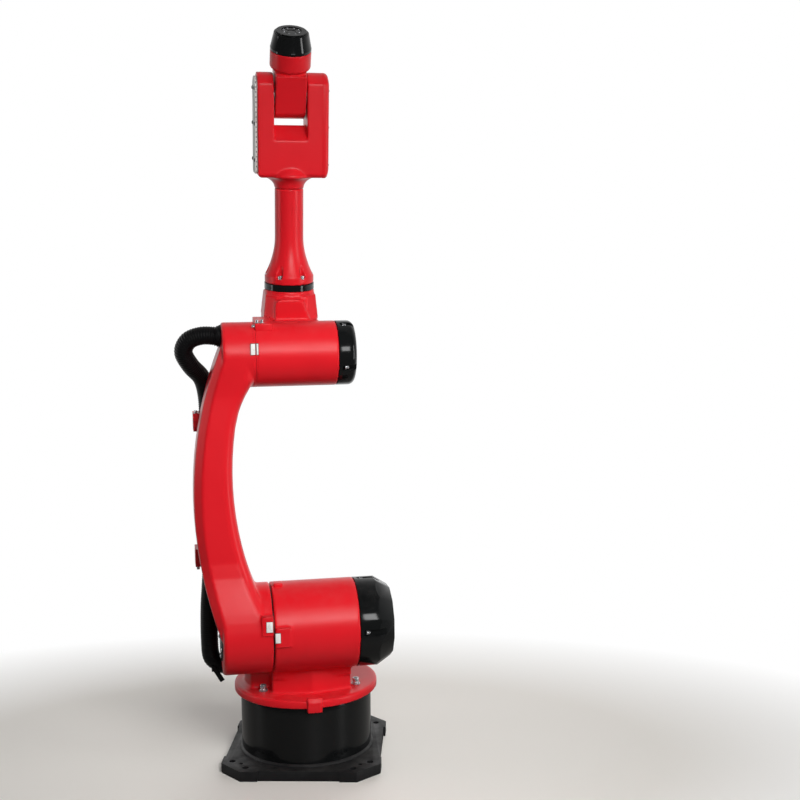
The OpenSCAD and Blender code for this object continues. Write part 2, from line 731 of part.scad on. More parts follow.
// Elbow
module elbow_housing() {
    top = seal_bottom - seal_seat;
    n = neck_half_w;
    c = neck_corner;
    b = boss_half_w;
    f = boss_round;
    color(red) at_elbow() union() {
        rod_x(-elbow_left, elbow_right, elbow_r);
        sheet_x(-forearm_side - rear_half_w, -forearm_side + rear_half_w) polygon([[0, -rear_drop + 6],
            [rear_drop / 2, -rear_drop], [rear_reach - rear_drop, -rear_drop], [rear_reach, -rear_drop / 2],
            [rear_reach, rear_top], [0, rear_top]]);
        translate([-forearm_side, forearm_setback, 0]) {
            translate([0, 0, rear_top - lap]) linear_extrude(top - rear_top + lap, scale = seal_r / n)
                motor_profile(n, c);
            translate([0, 0, top - lap]) cylinder(r = seal_r, h = seal_bottom - top + lap);
            rotate([90, 0, 0]) linear_extrude(n + boss_proud) union() {
                polygon([[-b, rear_top - pad_depth], [-b, boss_top - f], [-b + f, boss_top],
                    [boss_top_w - f, boss_top], [boss_top_w, boss_top - f],
                    [boss_foot_w, rear_top - pad_depth]]);
                for (x = [-b + f, boss_top_w - f]) translate([x, boss_top - f]) circle(r = f);
            }
        }
    }
}

module j3_motor_cover() {
    at_elbow() translate([elbow_right + seam_gap, 0, 0])
        motor_cover(elbow_r, cover3_round, cover3_length, cover3_end_r, 0, slot_turn);
}

module elbow_top_block() {
    color(red) at_elbow() difference() {
        block(-elbow_left, -elbow_left + block_w, -block_l / 2, block_l / 2, elbow_r / 2,
            elbow_r + block_rise);
        rod_x(-far, far, elbow_r + seat_gap);
        block(-forearm_side - rear_half_w - run_gap, far, -run_gap, far, 0, rear_top + run_gap);
    }
}

module elbow_rear_cover() {
    w = rear_half_w - rear_cover_t;
    color(black) at_elbow() block(-forearm_side - w, -forearm_side + w, rear_reach,
        rear_reach + rear_cover_t, -rear_drop / 2 + rear_cover_t, rear_top - rear_cover_t);
}

module j4_motor() {
    h = motor4_half_w;
    color(black) at_elbow() translate([-forearm_side, rear_reach + rear_cover_t, 12]) rotate([-90, 0, 0])
        linear_extrude(motor4_reach) motor_profile(h, motor_corner);
}

module j4_seal_ring() {
    color(black) at_forearm() translate([0, 0, seal_bottom]) cylinder(r = seal_r, h = seal_t);
}

// Forearm
tube_start = seal_bottom + seal_t + run_gap;
flare_start = tube_start + tube_foot_h;
flare_pieces = 10;
module forearm_tube() {
    color(red) at_forearm() difference() {
        rotate_extrude() polygon(concat([[0, tube_start], [tube_foot_r - 1, tube_start],
            [tube_foot_r, tube_start + 1]],
            [for (i = [0:flare_pieces]) let (t = i / flare_pieces)
                [tube_r + (tube_foot_r - tube_r) * (1 - t) * (1 - t),
                    flare_start + (flare_top - flare_start) * t]],
            [[tube_r, fork_neck_start], [0, fork_neck_start]]));
        for (i = [0:pocket_count - 1]) rotate([0, 0, 360 * i / pocket_count])
            translate([pocket_pcd_r, 0, tube_start + pocket_floor]) {
            cylinder(d = pocket_w, h = 60);
            block(0, 20, -pocket_w / 2, pocket_w / 2, 0, 60);
        }
    }
}

module wrist_fork() {
    f = fork_neck_r;
    k = 8;
    rise = fork_start - fork_neck_start;
    w = forearm_length;
    d = fork_half_depth;
    e = fork_round;
    color(red) at_forearm() difference() {
        union() {
            rotate_extrude() polygon(concat([[0, fork_neck_start + 0.1]],
                [for (i = [0:k]) let (a = 90 * i / k)
                    [f - (f - tube_r - 0.5) * cos(a), fork_neck_start + 0.1 + rise * sin(a)]],
                [[f, fork_start + 5], [f - 8, fork_start + 18], [f - 20, fork_start + 30],
                    [0, fork_start + 30]]));
            skin([for (i = [0:k + 1]) let (a = 90 * min(i, k) / k, wide = 1 - cos(a))
                ellipse_ring(tube_r + (fork_neck_side - tube_r) * wide,
                    tube_r + (d - lap - tube_r) * wide,
                    fork_neck_start + 0.1 + rise * sin(a) + (i > k ? pad_depth : 0))]);
            intersection() {
                sheet_x(-fork_left, fork_right) union() {
                    polygon([[-d, fork_start + fork_corner], [-d + fork_corner, fork_start],
                        [d - fork_corner, fork_start], [d, fork_start + fork_corner], [d, w], [-d, w]]);
                    translate([0, w]) intersection() {
                        circle(r = ear_r);
                        translate([-d, -1]) square([2 * d, far]);
                    }
                }
                rotate([90, 0, 0]) translate([0, 0, -far]) linear_extrude(2 * far) union() {
                    translate([-fork_left, fork_start + e]) square([fork_left + fork_right, far]);
                    translate([-fork_left + e, fork_start]) square([fork_left + fork_right - e, far]);
                    translate([-fork_left + e, fork_start + e]) circle(r = e);
                }
            }
        }
        sheet_x(-fork_slot, fork_slot) polygon([[-d - 20, w - lip_drop - 16], [-d, w - lip_drop],
            [-ridge_half, w - ridge_drop], [ridge_half, w - ridge_drop], [d, w - lip_drop],
            [d + 20, w - lip_drop - 16], [d + 20, w + far / 2], [-d - 20, w + far / 2]]);
    }
}

function ellipse_ring(rx, ry, z) = [for (a = [0:7.5:359]) [rx * cos(a), ry * sin(a), z]];

// The side outline of the fork, drawn in, and more so at its underside
module fork_plate(inset, low) {
    d = fork_half_depth - inset;
    w = forearm_length;
    z = fork_start + inset * low;
    c = fork_corner;
    polygon([[-d, z + c], [-d + c, z], [d - c, z], [d, z + c], [d, w], [-d, w]]);
    translate([0, w]) intersection() {
        circle(r = ear_r - inset);
        translate([-d, -1]) square([2 * d, far]);
    }
}

module fork_side_cover() {
    color(pale) at_forearm() sheet_x(-fork_left - side_cover_t, -fork_left) union() {
        fork_plate(side_cover_inset, 1);
    }
}

module fork_belt_cover() {
    t = belt_cover_t;
    e = belt_cover_edge;
    color(red) at_forearm() hull() {
        sheet_x(fork_right, fork_right + t - e) union() { fork_plate(0, 1); }
        for (i = [1:cover_pieces]) let (a = 90 * i / cover_pieces)
            sheet_x(fork_right + t - e, fork_right + t - e + e * sin(a)) union() {
                fork_plate(e * (1 - cos(a)), 2);
            }
    }
}

// Wrist
module wrist_body() {
    d = wrist_half_depth;
    color(red) at_wrist() union() {
        sheet_x(-wrist_half_w, wrist_half_w) union() {
            intersection() {
                circle(r = wrist_r);
                translate([-d, -far]) square([2 * d, far]);
            }
            translate([-d, -1]) square([2 * d, collar_start + 1]);
        }
        translate([0, 0, collar_start - lap]) cylinder(r1 = collar_r - collar_chamfer - lap, r2 = collar_r,
            h = collar_chamfer + lap);
        translate([0, 0, collar_start + collar_chamfer]) cylinder(r = collar_r,
            h = nose_start - seam_gap - collar_start - collar_chamfer);
    }
}

module wrist_hub_left() {
    color(steel) at_wrist() rod_x(-fork_slot + run_gap, -wrist_half_w, hub_d / 2);
}

module wrist_hub_right() {
    color(steel) at_wrist() rod_x(wrist_half_w, fork_slot - run_gap, hub_d / 2);
}

module wrist_nose() {
    color(black) at_wrist() rotate_extrude() polygon([[0, nose_start - seam_gap],
        [nose_r, nose_start - seam_gap], [nose_r, nose_start + nose_foot],
        [nose_top_r + nose_edge / 2, nose_top - nose_edge], [nose_top_r - nose_edge / 2, nose_top],
        [0, nose_top]]);
}

module tool_flange() {
    bottom = nose_top + run_gap;
    color(black) at_wrist() difference() {
        translate([0, 0, bottom]) rotate_extrude() polygon([[0, 0], [flange_r, 0],
            [flange_r, flange_face - bottom - 1], [flange_r - 1, flange_face - bottom],
            [0, flange_face - bottom]]);
        translate([0, 0, bottom - lap]) cylinder(d = flange_bore, h = flange_face);
        for (i = [0:flange_holes - 1]) rotate([0, 0, 45 + 360 * i / flange_holes])
            translate([flange_pcd / 2, 0, flange_face - flange_hole_depth])
                cylinder(d = flange_hole_d, h = flange_hole_depth + lap);
    }
}

base_plate();
base_drum();
slewing_bearing();
rear_connector_box();
turret_casting();
turret_zero_block();
j1_motor();
j1_motor_connector();
j2_motor_cover();
lower_arm();
j2_reducer_ring();
j2_head_cover();
j3_reducer_ring();
cable_hose();
hose_gland_upper();
hose_gland_lower();
hose_clamp_upper();
hose_clamp_lower();
elbow_housing();
j3_motor_cover();
elbow_top_block();
elbow_rear_cover();
j4_motor();
j4_seal_ring();
forearm_tube();
wrist_fork();
fork_side_cover();
fork_belt_cover();
wrist_body();
wrist_hub_left();
wrist_hub_right();
wrist_nose();
tool_flange();
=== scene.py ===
"""Paint, castings, covers, screws, hose and studio for the six-axis robot arm."""

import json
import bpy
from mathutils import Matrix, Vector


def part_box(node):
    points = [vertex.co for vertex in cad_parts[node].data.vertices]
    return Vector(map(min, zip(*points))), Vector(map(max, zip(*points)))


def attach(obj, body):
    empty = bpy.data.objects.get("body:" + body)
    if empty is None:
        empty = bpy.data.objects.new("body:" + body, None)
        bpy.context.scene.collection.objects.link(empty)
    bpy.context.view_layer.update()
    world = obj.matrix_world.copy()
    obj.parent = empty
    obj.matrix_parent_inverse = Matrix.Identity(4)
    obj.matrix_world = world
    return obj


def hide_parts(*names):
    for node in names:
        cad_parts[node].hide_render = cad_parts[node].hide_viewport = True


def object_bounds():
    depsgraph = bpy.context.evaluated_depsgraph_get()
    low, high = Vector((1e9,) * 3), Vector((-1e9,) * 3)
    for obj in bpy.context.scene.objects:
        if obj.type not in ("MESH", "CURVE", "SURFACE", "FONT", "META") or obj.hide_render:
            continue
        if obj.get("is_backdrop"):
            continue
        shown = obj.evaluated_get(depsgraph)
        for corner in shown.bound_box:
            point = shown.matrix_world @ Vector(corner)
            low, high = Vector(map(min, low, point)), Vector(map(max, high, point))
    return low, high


bl_info = {
    "name": "Six-axis robot arm dressing",
    "version": (1, 0, 0),
    "blender": (4, 5, 0),
    "location": "3D Viewport > Sidebar > Robot arm",
    "description": "Builds the detailed pieces and finishes of a red and black robot arm around its solids",
    "category": "Object",
}

from math import atan2, cos, pi, radians, sin

import bmesh
import bpy
from bpy.props import FloatProperty, FloatVectorProperty, IntProperty, PointerProperty
from mathutils import Matrix, Vector

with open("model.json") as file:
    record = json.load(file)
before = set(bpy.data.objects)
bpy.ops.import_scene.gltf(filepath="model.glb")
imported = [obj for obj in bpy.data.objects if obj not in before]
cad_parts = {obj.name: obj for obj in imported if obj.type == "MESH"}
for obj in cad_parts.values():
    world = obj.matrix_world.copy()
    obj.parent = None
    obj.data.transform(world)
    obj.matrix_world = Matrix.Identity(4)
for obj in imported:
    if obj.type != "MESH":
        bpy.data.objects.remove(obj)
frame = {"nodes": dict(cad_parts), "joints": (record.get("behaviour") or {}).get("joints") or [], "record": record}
cad_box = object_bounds()
nodes = frame["nodes"]
joints = {j["name"]: j for j in frame["joints"]}


def axes_at(origin, up):
    """The frame at a point with the robot's side axis as X and the given way as Z."""
    x = Vector(joints["j2_shoulder"]["axis"]).normalized()
    z = Vector(up).normalized()
    y = z.cross(x)
    return Matrix.Translation(Vector(origin)) @ Matrix((x, y, z)).transposed().to_4x4()


BASE = Matrix.Identity(4)
TURRET = axes_at((0, 0, 0), (0, 0, 1))
ARM = axes_at(joints["j2_shoulder"]["pos_m"], (0, 0, 1))
ELBOW = axes_at(joints["j3_elbow"]["pos_m"], joints["j4_forearm"]["axis"])
WRIST = axes_at(joints["j5_wrist"]["pos_m"], joints["j6_tool"]["axis"])
wrist_in_elbow = ELBOW.inverted() @ WRIST.translation
FOREARM = ELBOW @ Matrix.Translation((wrist_in_elbow.x, wrist_in_elbow.y, 0))

# The hose's route in the lower arm's frame; the first and last point only steer the curve
HOSE = ((-0.150, 0, 0.714), (-0.2025, 0, 0.714), (-0.244, 0.002, 0.716), (-0.276, 0.012, 0.704),
        (-0.288, 0.026, 0.676), (-0.271, 0.046, 0.642), (-0.245, 0.073, 0.610), (-0.234, 0.089, 0.567),
        (-0.232, 0.092, 0.502), (-0.235, 0.092, 0.420), (-0.239, 0.092, 0.330), (-0.235, 0.092, 0.240),
        (-0.231, 0.092, 0.166), (-0.236, 0.097, 0.095), (-0.241, 0.101, 0.025), (-0.242, 0.102, -0.050),
        (-0.238, 0.101, -0.097), (-0.216, 0.100, -0.115), (-0.196, 0.100, -0.116), (-0.160, 0.100, -0.116))


def size_property(name, description, default, low, high):
    """A length in metres for the panel."""
    return FloatProperty(name=name, description=description, default=default, min=low, max=high, unit="LENGTH")


def colour_property(name, description, default):
    """A linear colour for the panel."""
    return FloatVectorProperty(name=name, description=description, default=default, size=3, min=0, max=1,
                               subtype="COLOR")


def angle_property(name, description, degrees):
    """An angle for the panel."""
    return FloatProperty(name=name, description=description, default=radians(degrees), subtype="ANGLE")


class RobotSizes(bpy.types.PropertyGroup):
    """Sizes of the detail pieces."""

    grain: size_property("Casting grain", "Voxel size of the large castings' skins", 0.003, 0.002, 0.01)
    fine_grain: size_property("Fine grain", "Voxel size of the small castings' skins", 0.002, 0.001, 0.006)
    rounding: IntProperty(name="Rounding", description="Smoothing steps that round the castings' edges",
                          default=6, min=0, max=20)
    edge: size_property("Edge", "Width of the broken edges on blocks and clamps", 0.0015, 0.0002, 0.005)
    rib_pitch: size_property("Rib pitch", "Distance between two ribs of the cable hose", 0.0052, 0.003, 0.02)
    rib_depth: size_property("Rib depth", "Depth of the ribs of the cable hose", 0.0009, 0.0, 0.004)
    hose_d: size_property("Hose", "Outer diameter of the cable hose", 0.044, 0.02, 0.06)
    ring_bolt_at: size_property("Ring bolts", "Radius of the bolt circle on the turret ring", 0.1425, 0.1, 0.175)


class RobotColours(bpy.types.PropertyGroup):
    """Colours of the finishes."""

    paint: colour_property("Paint", "Powder coat of the castings", (0.70, 0.0095, 0.017))
    gloss: colour_property("Gloss black", "Drum, covers and nose", (0.0045, 0.0050, 0.0052))
    satin: colour_property("Satin black", "Base plate and motors", (0.0075, 0.0075, 0.0082))
    # The hose black also paints the shadow frames round the zero marks.
    hose: colour_property("Hose black", "Cable hose and glands", (0.0032, 0.0032, 0.0036))
    zinc: colour_property("Zinc", "Bolts, screws and washers", (0.60, 0.61, 0.63))
    pale: colour_property("Pale plate", "Side cover of the fork", (0.74, 0.74, 0.71))
    floor: colour_property("Floor", "Floor near the robot", (0.86, 0.83, 0.78))


class RobotCamera(bpy.types.PropertyGroup):
    """Where the camera stands, in its own heading."""

    at: FloatVectorProperty(name="Place", description="Camera place before the heading is applied", size=3,
                            unit="LENGTH", default=(0.2489, -3.0505, 1.2340))
    heading: angle_property("Heading", "Turn about the vertical", 2.076)
    pitch: angle_property("Pitch", "Tilt down from level", 6.081)
    roll: angle_property("Roll", "Turn about its own axis", -0.567)
    lens: FloatProperty(name="Lens", description="Focal length in millimetres", default=55.05, min=20, max=120)


# Node groups for the finishes

def new_group(name, inputs, output):
    """An empty shader node group: the group, its float inputs by name and its one float output."""
    group = bpy.data.node_groups.new(name, "ShaderNodeTree")
    for label, value in inputs:
        group.interface.new_socket(label, in_out="INPUT", socket_type="NodeSocketFloat").default_value = value
    group.interface.new_socket(output, in_out="OUTPUT", socket_type="NodeSocketFloat")
    return group, group.nodes.new("NodeGroupInput").outputs, group.nodes.new("NodeGroupOutput").inputs[output]


def feed(tree, value, socket):
    """Gives an input a number or links it to an output."""
    if isinstance(value, (int, float)):
        socket.default_value = value
    else:
        tree.links.new(value, socket)


def noise(tree, scale, detail, rough):
    """A noise texture in object space; the scale is a number or a socket."""
    tex = tree.nodes.new("ShaderNodeTexNoise")
    tree.links.new(tree.nodes.new("ShaderNodeTexCoord").outputs["Object"], tex.inputs["Vector"])
    feed(tree, scale, tex.inputs["Scale"])
    tex.inputs["Detail"].default_value = detail
    tex.inputs["Roughness"].default_value = rough
    return tex.outputs["Fac"]


def maths(tree, kind, a, b, clamp=False):
    """A math node of two sockets or numbers."""
    node = tree.nodes.new("ShaderNodeMath")
    node.operation = kind
    node.use_clamp = clamp
    feed(tree, a, node.inputs[0])
    feed(tree, b, node.inputs[1])
    return node.outputs[0]


def remap(tree, value, low, high, to_low=0.0, to_high=1.0):
    """Maps a range of a socket to another range, clamped."""
    node = tree.nodes.new("ShaderNodeMapRange")
    tree.links.new(value, node.inputs["Value"])
    for label, number in (("From Min", low), ("From Max", high), ("To Min", to_low), ("To Max", to_high)):
        node.inputs[label].default_value = number
    return node.outputs["Result"]


def peel_group():
    """Fine orange peel of the paint over the faint unevenness of a casting."""
    group, start, height = new_group("Paint peel", (("Scale", 420.0), ("Cast", 0.35)), "Height")
    fine = noise(group, start["Scale"], 2.0, 0.55)
    cast = maths(group, "MULTIPLY", noise(group, 38.0, 3.0, 0.5), start["Cast"])
    group.links.new(maths(group, "ADD", fine, cast), height)
    return group


def wear_group():
    """Where edges stand proud and have been rubbed."""
    group, start, mask = new_group("Edge wear", (("Amount", 0.5), ("Start", 0.53)), "Mask")
    pointiness = group.nodes.new("ShaderNodeNewGeometry").outputs["Pointiness"]
    raised = maths(group, "SUBTRACT", pointiness, start["Start"])
    raised = maths(group, "MULTIPLY", raised, 14.0, True)
    patch = remap(group, noise(group, 55.0, 4.0, 0.6), 0.42, 0.62)
    rubbed = maths(group, "MULTIPLY", raised, patch)
    group.links.new(maths(group, "MULTIPLY", rubbed, start["Amount"], True), mask)
    return group


def dust_group():
    """Dust that lies on faces that look up."""
    group, start, mask = new_group("Dust", (("Amount", 0.3), ("Scale", 26.0)), "Mask")
    split = group.nodes.new("ShaderNodeSeparateXYZ")
    group.links.new(group.nodes.new("ShaderNodeNewGeometry").outputs["True Normal"], split.inputs[0])
    level = remap(group, split.outputs["Z"], 0.35, 0.95)
    specks = remap(group, noise(group, start["Scale"], 6.0, 0.65), 0.36, 0.68)
    both = maths(group, "MULTIPLY", level, specks)
    group.links.new(maths(group, "MULTIPLY", both, start["Amount"], True), mask)
    return group


def smudge_group():
    """Soft cloudy marks that change the gloss."""
    group, start, roughness = new_group("Smudges", (("Scale", 9.0), ("Low", 0.3), ("High", 0.4)), "Roughness")
    soft = remap(group, noise(group, start["Scale"], 5.0, 0.6), 0.3, 0.7)
    span = maths(group, "SUBTRACT", start["High"], start["Low"])
    group.links.new(maths(group, "ADD", maths(group, "MULTIPLY", soft, span), start["Low"]), roughness)
    return group


finishes = {}


class Finish:
    """A material under construction: a Principled BSDF fed by the shared groups."""

    def __init__(self, name, colour, groups, metallic=0.0):
        material = bpy.data.materials.new(name)
        material.use_nodes = True
        finishes[name] = material
        self.tree = material.node_tree
        self.shader = self.tree.nodes["Principled BSDF"]
        self.shader.inputs["Metallic"].default_value = metallic
        self.groups = groups
        tone = self.tree.nodes.new("ShaderNodeRGB")
        tone.outputs[0].default_value = (*colour, 1)
        self.colour = tone.outputs[0]
        self.tree.links.new(self.colour, self.shader.inputs["Base Color"])

    def use(self, kind, **values):
        """Adds one of the shared groups and returns its output."""
        node = self.tree.nodes.new("ShaderNodeGroup")
        node.node_tree = self.groups[kind]
        for label, value in values.items():
            node.inputs[label].default_value = value
        return node.outputs[0]

    def tint(self, mask, colour):
        """Lays a colour over the base where the mask is."""
        mix = self.tree.nodes.new("ShaderNodeMix")
        mix.data_type = "RGBA"
        self.tree.links.new(mask, mix.inputs["Factor"])
        self.tree.links.new(self.colour, mix.inputs["A"])
        mix.inputs["B"].default_value = (*colour, 1)
        self.colour = mix.outputs["Result"]
        self.tree.links.new(self.colour, self.shader.inputs["Base Color"])

    def clouds(self, low, high, scale):
        """A cloudy mask from noise between two levels."""
        return remap(self.tree, noise(self.tree, scale, 4.0, 0.55), low, high)

    def dust(self, amount, scale, colour):
        """Dust of a colour on what looks up."""
        self.tint(self.use("dust", Amount=amount, Scale=scale), colour)

    def gloss(self, low, high, scale, level=0.5):
        """Roughness between two values in soft clouds, and how strongly the surface reflects."""
        self.tree.links.new(self.use("smudge", Scale=scale, Low=low, High=high), self.shader.inputs["Roughness"])
        self.shader.inputs["Specular IOR Level"].default_value = level

    def relief(self, strength, distance, scale, cast):
        """Bump of fine peel at a scale over a share of the casting's unevenness."""
        bump = self.tree.nodes.new("ShaderNodeBump")
        bump.inputs["Strength"].default_value = strength
        bump.inputs["Distance"].default_value = distance
        self.tree.links.new(self.use("peel", Scale=scale, Cast=cast), bump.inputs["Height"])
        self.tree.links.new(bump.outputs["Normal"], self.shader.inputs["Normal"])


def make_finishes():
    """Makes all finishes."""
    c = bpy.context.scene.robot_colours
    groups = {"peel": peel_group(), "wear": wear_group(), "dust": dust_group(), "smudge": smudge_group()}

    paint = Finish("red_paint", c.paint, groups)
    paint.tint(maths(paint.tree, "MULTIPLY", paint.clouds(0.35, 0.7, 5.0), 0.35), [v * 0.82 for v in c.paint])
    paint.tint(paint.use("wear", Amount=0.25, Start=0.525), (0.78, 0.035, 0.045))
    paint.dust(0.07, 34.0, (0.55, 0.26, 0.25))
    paint.gloss(0.28, 0.38, 9.0, 0.28)
    paint.relief(0.07, 0.0006, 520.0, 0.5)

    gloss = Finish("black_gloss", c.gloss, groups)
    gloss.dust(0.07, 40.0, (0.16, 0.155, 0.15))
    gloss.gloss(0.08, 0.16, 14.0, 0.32)
    gloss.relief(0.02, 0.0006, 260.0, 1.4)

    satin = Finish("black_satin", c.satin, groups)
    satin.tint(satin.clouds(0.5, 0.75, 16.0), (0.014, 0.014, 0.014))
    satin.dust(0.14, 30.0, (0.16, 0.15, 0.14))
    satin.gloss(0.38, 0.62, 18.0, 0.3)
    satin.relief(0.35, 0.0008, 300.0, 1.2)

    dark = Finish("black_steel", (0.020, 0.020, 0.022), groups, 0.6)
    dark.tint(dark.use("wear", Amount=0.6, Start=0.52), (0.18, 0.18, 0.18))
    dark.gloss(0.26, 0.42, 30.0)
    dark.relief(0.12, 0.0003, 900.0, 0.2)

    steel = Finish("bare_steel", (0.42, 0.42, 0.43), groups, 1.0)
    steel.tint(steel.clouds(0.45, 0.7, 60.0), (0.28, 0.28, 0.28))
    steel.gloss(0.24, 0.40, 50.0)
    steel.relief(0.10, 0.0002, 1200.0, 0.1)

    zinc = Finish("zinc_screws", c.zinc, groups, 0.85)
    zinc.tint(zinc.clouds(0.55, 0.8, 160.0), (0.48, 0.48, 0.48))
    zinc.gloss(0.18, 0.34, 90.0)

    hose = Finish("black_hose", c.hose, groups)
    hose.dust(0.12, 60.0, (0.05, 0.048, 0.046))
    hose.gloss(0.36, 0.52, 22.0, 0.2)
    hose.relief(0.15, 0.0004, 700.0, 0.2)

    pale = Finish("pale_plate", c.pale, groups)
    pale.tint(pale.clouds(0.5, 0.8, 22.0), (0.58, 0.57, 0.54))
    pale.gloss(0.42, 0.55, 20.0)
    pale.relief(0.15, 0.0004, 500.0, 0.3)

    mark = Finish("white_mark", (0.80, 0.79, 0.76), groups)
    mark.tint(mark.clouds(0.55, 0.75, 160.0), (0.55, 0.53, 0.50))
    mark.gloss(0.35, 0.5, 60.0)


# Places and shapes

def shift(x, y, z):
    """A plain move."""
    return Matrix.Translation((x, y, z))


def around(radius, count, start, z):
    """Places on a circle about the Z axis; the start is in degrees."""
    turns = [radians(start + 360 / count * i) for i in range(count)]
    return [shift(radius * cos(a), radius * sin(a), z) for a in turns]


def facing(way):
    """The turn that brings +Z to a way."""
    return Vector(way).to_track_quat("Z", "Y").to_matrix().to_4x4()


LEFTWARD, RIGHTWARD, REARWARD = (facing(way) for way in ((-1, 0, 0), (1, 0, 0), (0, 1, 0)))

# Points of a CAD mesh merge within MERGE; its edges go when flatter than FLAT and are broken when past SHARP
MERGE = 2e-6
FLAT, SHARP = radians(0.5), radians(28)


def turned(profile, steps):
    """A profile of (radius, height) spun about Z."""
    bm = bmesh.new()
    verts = [bm.verts.new((r, 0, z)) for r, z in profile]
    edges = [bm.edges.new(pair) for pair in zip(verts, verts[1:])]
    bmesh.ops.spin(bm, geom=verts + edges, cent=(0, 0, 0), axis=(0, 0, 1), angle=2 * pi, steps=steps,
                   use_merge=True)
    bmesh.ops.remove_doubles(bm, verts=bm.verts, dist=1e-6)
    bmesh.ops.recalc_face_normals(bm, faces=bm.faces)
    return bm


def prism(sides, radius, height):
    """A capped prism standing on Z = 0."""
    bm = bmesh.new()
    bmesh.ops.create_cone(bm, cap_ends=True, segments=sides, radius1=radius, radius2=radius, depth=height,
                          matrix=shift(0, 0, height / 2))
    return bm


def bevelled(bm, edges, width, segments=2, profile=0.5):
    """Breaks some edges of a mesh."""
    bmesh.ops.bevel(bm, geom=edges, offset=width, offset_type="OFFSET", segments=segments, profile=profile,
                    affect="EDGES", clamp_overlap=True, material=-1)
    return bm


def slab(x0, x1, y0, y1, z0, z1, edge, segments=2):
    """A block with broken edges, or sharp ones at an edge of 0."""
    bm = bmesh.new()
    bmesh.ops.create_cube(bm, size=1, matrix=shift((x0 + x1) / 2, (y0 + y1) / 2, (z0 + z1) / 2)
                          @ Matrix.Diagonal((x1 - x0, y1 - y0, z1 - z0, 1)))
    return bevelled(bm, bm.edges[:], edge, segments) if edge else bm


def placed(bm, place):
    """A mesh moved to its place."""
    bm.transform(place)
    return bm


def gather(parts):
    """One mesh from (bmesh, place) pairs."""
    whole = bmesh.new()
    for part, place in parts:
        lump = bpy.data.meshes.new("lump")
        placed(part, place).to_mesh(lump)
        part.free()
        whole.from_mesh(lump)
        bpy.data.meshes.remove(lump)
    return whole


def new_object(name, bm):
    """An object of the scene from a mesh under construction."""
    mesh = bpy.data.meshes.new(name)
    bm.to_mesh(mesh)
    bm.free()
    made = bpy.data.objects.new(name, mesh)
    bpy.context.scene.collection.objects.link(made)
    return made


def piece(name, bm, body, finish, slot=None, smooth=32, replaced=(), outward=True):
    """Makes a mesh a piece that rides on a body; the slot argument is not used."""
    slot = slot or finish
    if outward:
        bmesh.ops.recalc_face_normals(bm, faces=bm.faces)
    made = new_object(name, bm)
    made.data.materials.append(finishes[finish])
    made.data.shade_smooth()
    made.data.set_sharp_from_angle(angle=radians(smooth))
    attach(made, body)
    if replaced:
        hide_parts(*replaced)
    return made


def fasteners(name, parts, body):
    """The zinc screws of a body as one piece."""
    return piece(name, gather(parts), body, "zinc_screws", "bare_steel")


def solid_copy(name):
    """The merged mesh of a CAD node."""
    bm = bmesh.new()
    bm.from_mesh(nodes[name].data)
    bmesh.ops.remove_doubles(bm, verts=bm.verts, dist=MERGE)
    return bm


def edged(name, node, body, finish, width=None, segments=2, reach=None):
    """A CAD solid with its sharp edges broken; its face that looks along reach can be moved by it."""
    bm = solid_copy(node)
    if reach:
        most = max(v.co.dot(reach) for v in bm.verts)
        inner = [v for v in bm.verts if most - v.co.dot(reach) < 1e-5 * reach.length]
        bmesh.ops.translate(bm, verts=inner, vec=reach)
    bmesh.ops.dissolve_limit(bm, angle_limit=FLAT, verts=bm.verts, edges=bm.edges)
    sharp = [e for e in bm.edges if e.is_manifold and e.calc_face_angle(0) > SHARP]
    bevelled(bm, sharp, width or bpy.context.scene.robot_sizes.edge, segments)
    return piece(name, bm, body, finish, replaced=(node,))


def settle(obj):
    """Applies the modifiers of an object to its mesh."""
    graph = bpy.context.evaluated_depsgraph_get()
    mesh = bpy.data.meshes.new_from_object(obj.evaluated_get(graph), depsgraph=graph)
    obj.modifiers.clear()
    obj.data = mesh


def casting(name, node, body, voxel, rounds):
    """A CAD solid as a red casting: one skin with rounded edges and inner corners."""
    made = piece(name, solid_copy(node), body, "red_paint", smooth=180, replaced=(node,), outward=False)
    skin = made.modifiers.new("Skin", "REMESH")
    skin.mode = "VOXEL"
    skin.voxel_size = voxel
    skin.use_smooth_shade = True
    soft = made.modifiers.new("Soften", "SMOOTH")
    soft.factor = 0.5
    soft.iterations = rounds
    settle(made)
    made.data.materials.clear()
    made.data.materials.append(finishes["red_paint"])
    made.data.shade_smooth()
    return made


def local_box(name, place):
    """Lowest and highest corner of a CAD node in a local frame."""
    back = place.inverted()
    at = [back @ v.co for v in nodes[name].data.vertices]
    return tuple(Vector([pick(p[i] for p in at) for i in range(3)]) for pick in (min, max))


def hexagon(v):
    """Moves a vertex of a round outline onto a hexagon with the same corners."""
    a = atan2(v.co.y, v.co.x) % (pi / 3) - pi / 6
    k = cos(pi / 6) / cos(a)
    v.co.x *= k
    v.co.y *= k


def cap_screw(d):
    """A socket head cap screw, its head standing on Z = 0."""
    head = prism(24, 0.75 * d, d)
    bevelled(head, [e for e in head.edges if all(v.co.z > d / 2 for v in e.verts)], 0.08 * d)
    top = max(head.faces, key=lambda f: f.calc_center_median().z)
    bmesh.ops.inset_individual(head, faces=[top], thickness=0.18 * d)
    for v in top.verts:
        hexagon(v)
    bmesh.ops.inset_individual(head, faces=[top], thickness=0.02 * d, depth=-0.55 * d)
    return head


def button_screw(d):
    """A low round head with a round socket, standing on Z = 0."""
    return turned([(0, 0), (0.9 * d, 0), (0.93 * d, 0.08 * d), (0.82 * d, 0.3 * d), (0.6 * d, 0.45 * d),
                   (0.42 * d, 0.5 * d), (0.36 * d, 0.28 * d), (0, 0.28 * d)], 24)


def washer(d, thick):
    """A flat washer for a screw, standing on Z = 0."""
    return turned([(0, 0), (1.05 * d, 0), (1.08 * d, 0.2 * thick), (1.08 * d, 0.8 * thick), (1.04 * d, thick),
                   (0, thick)], 32)


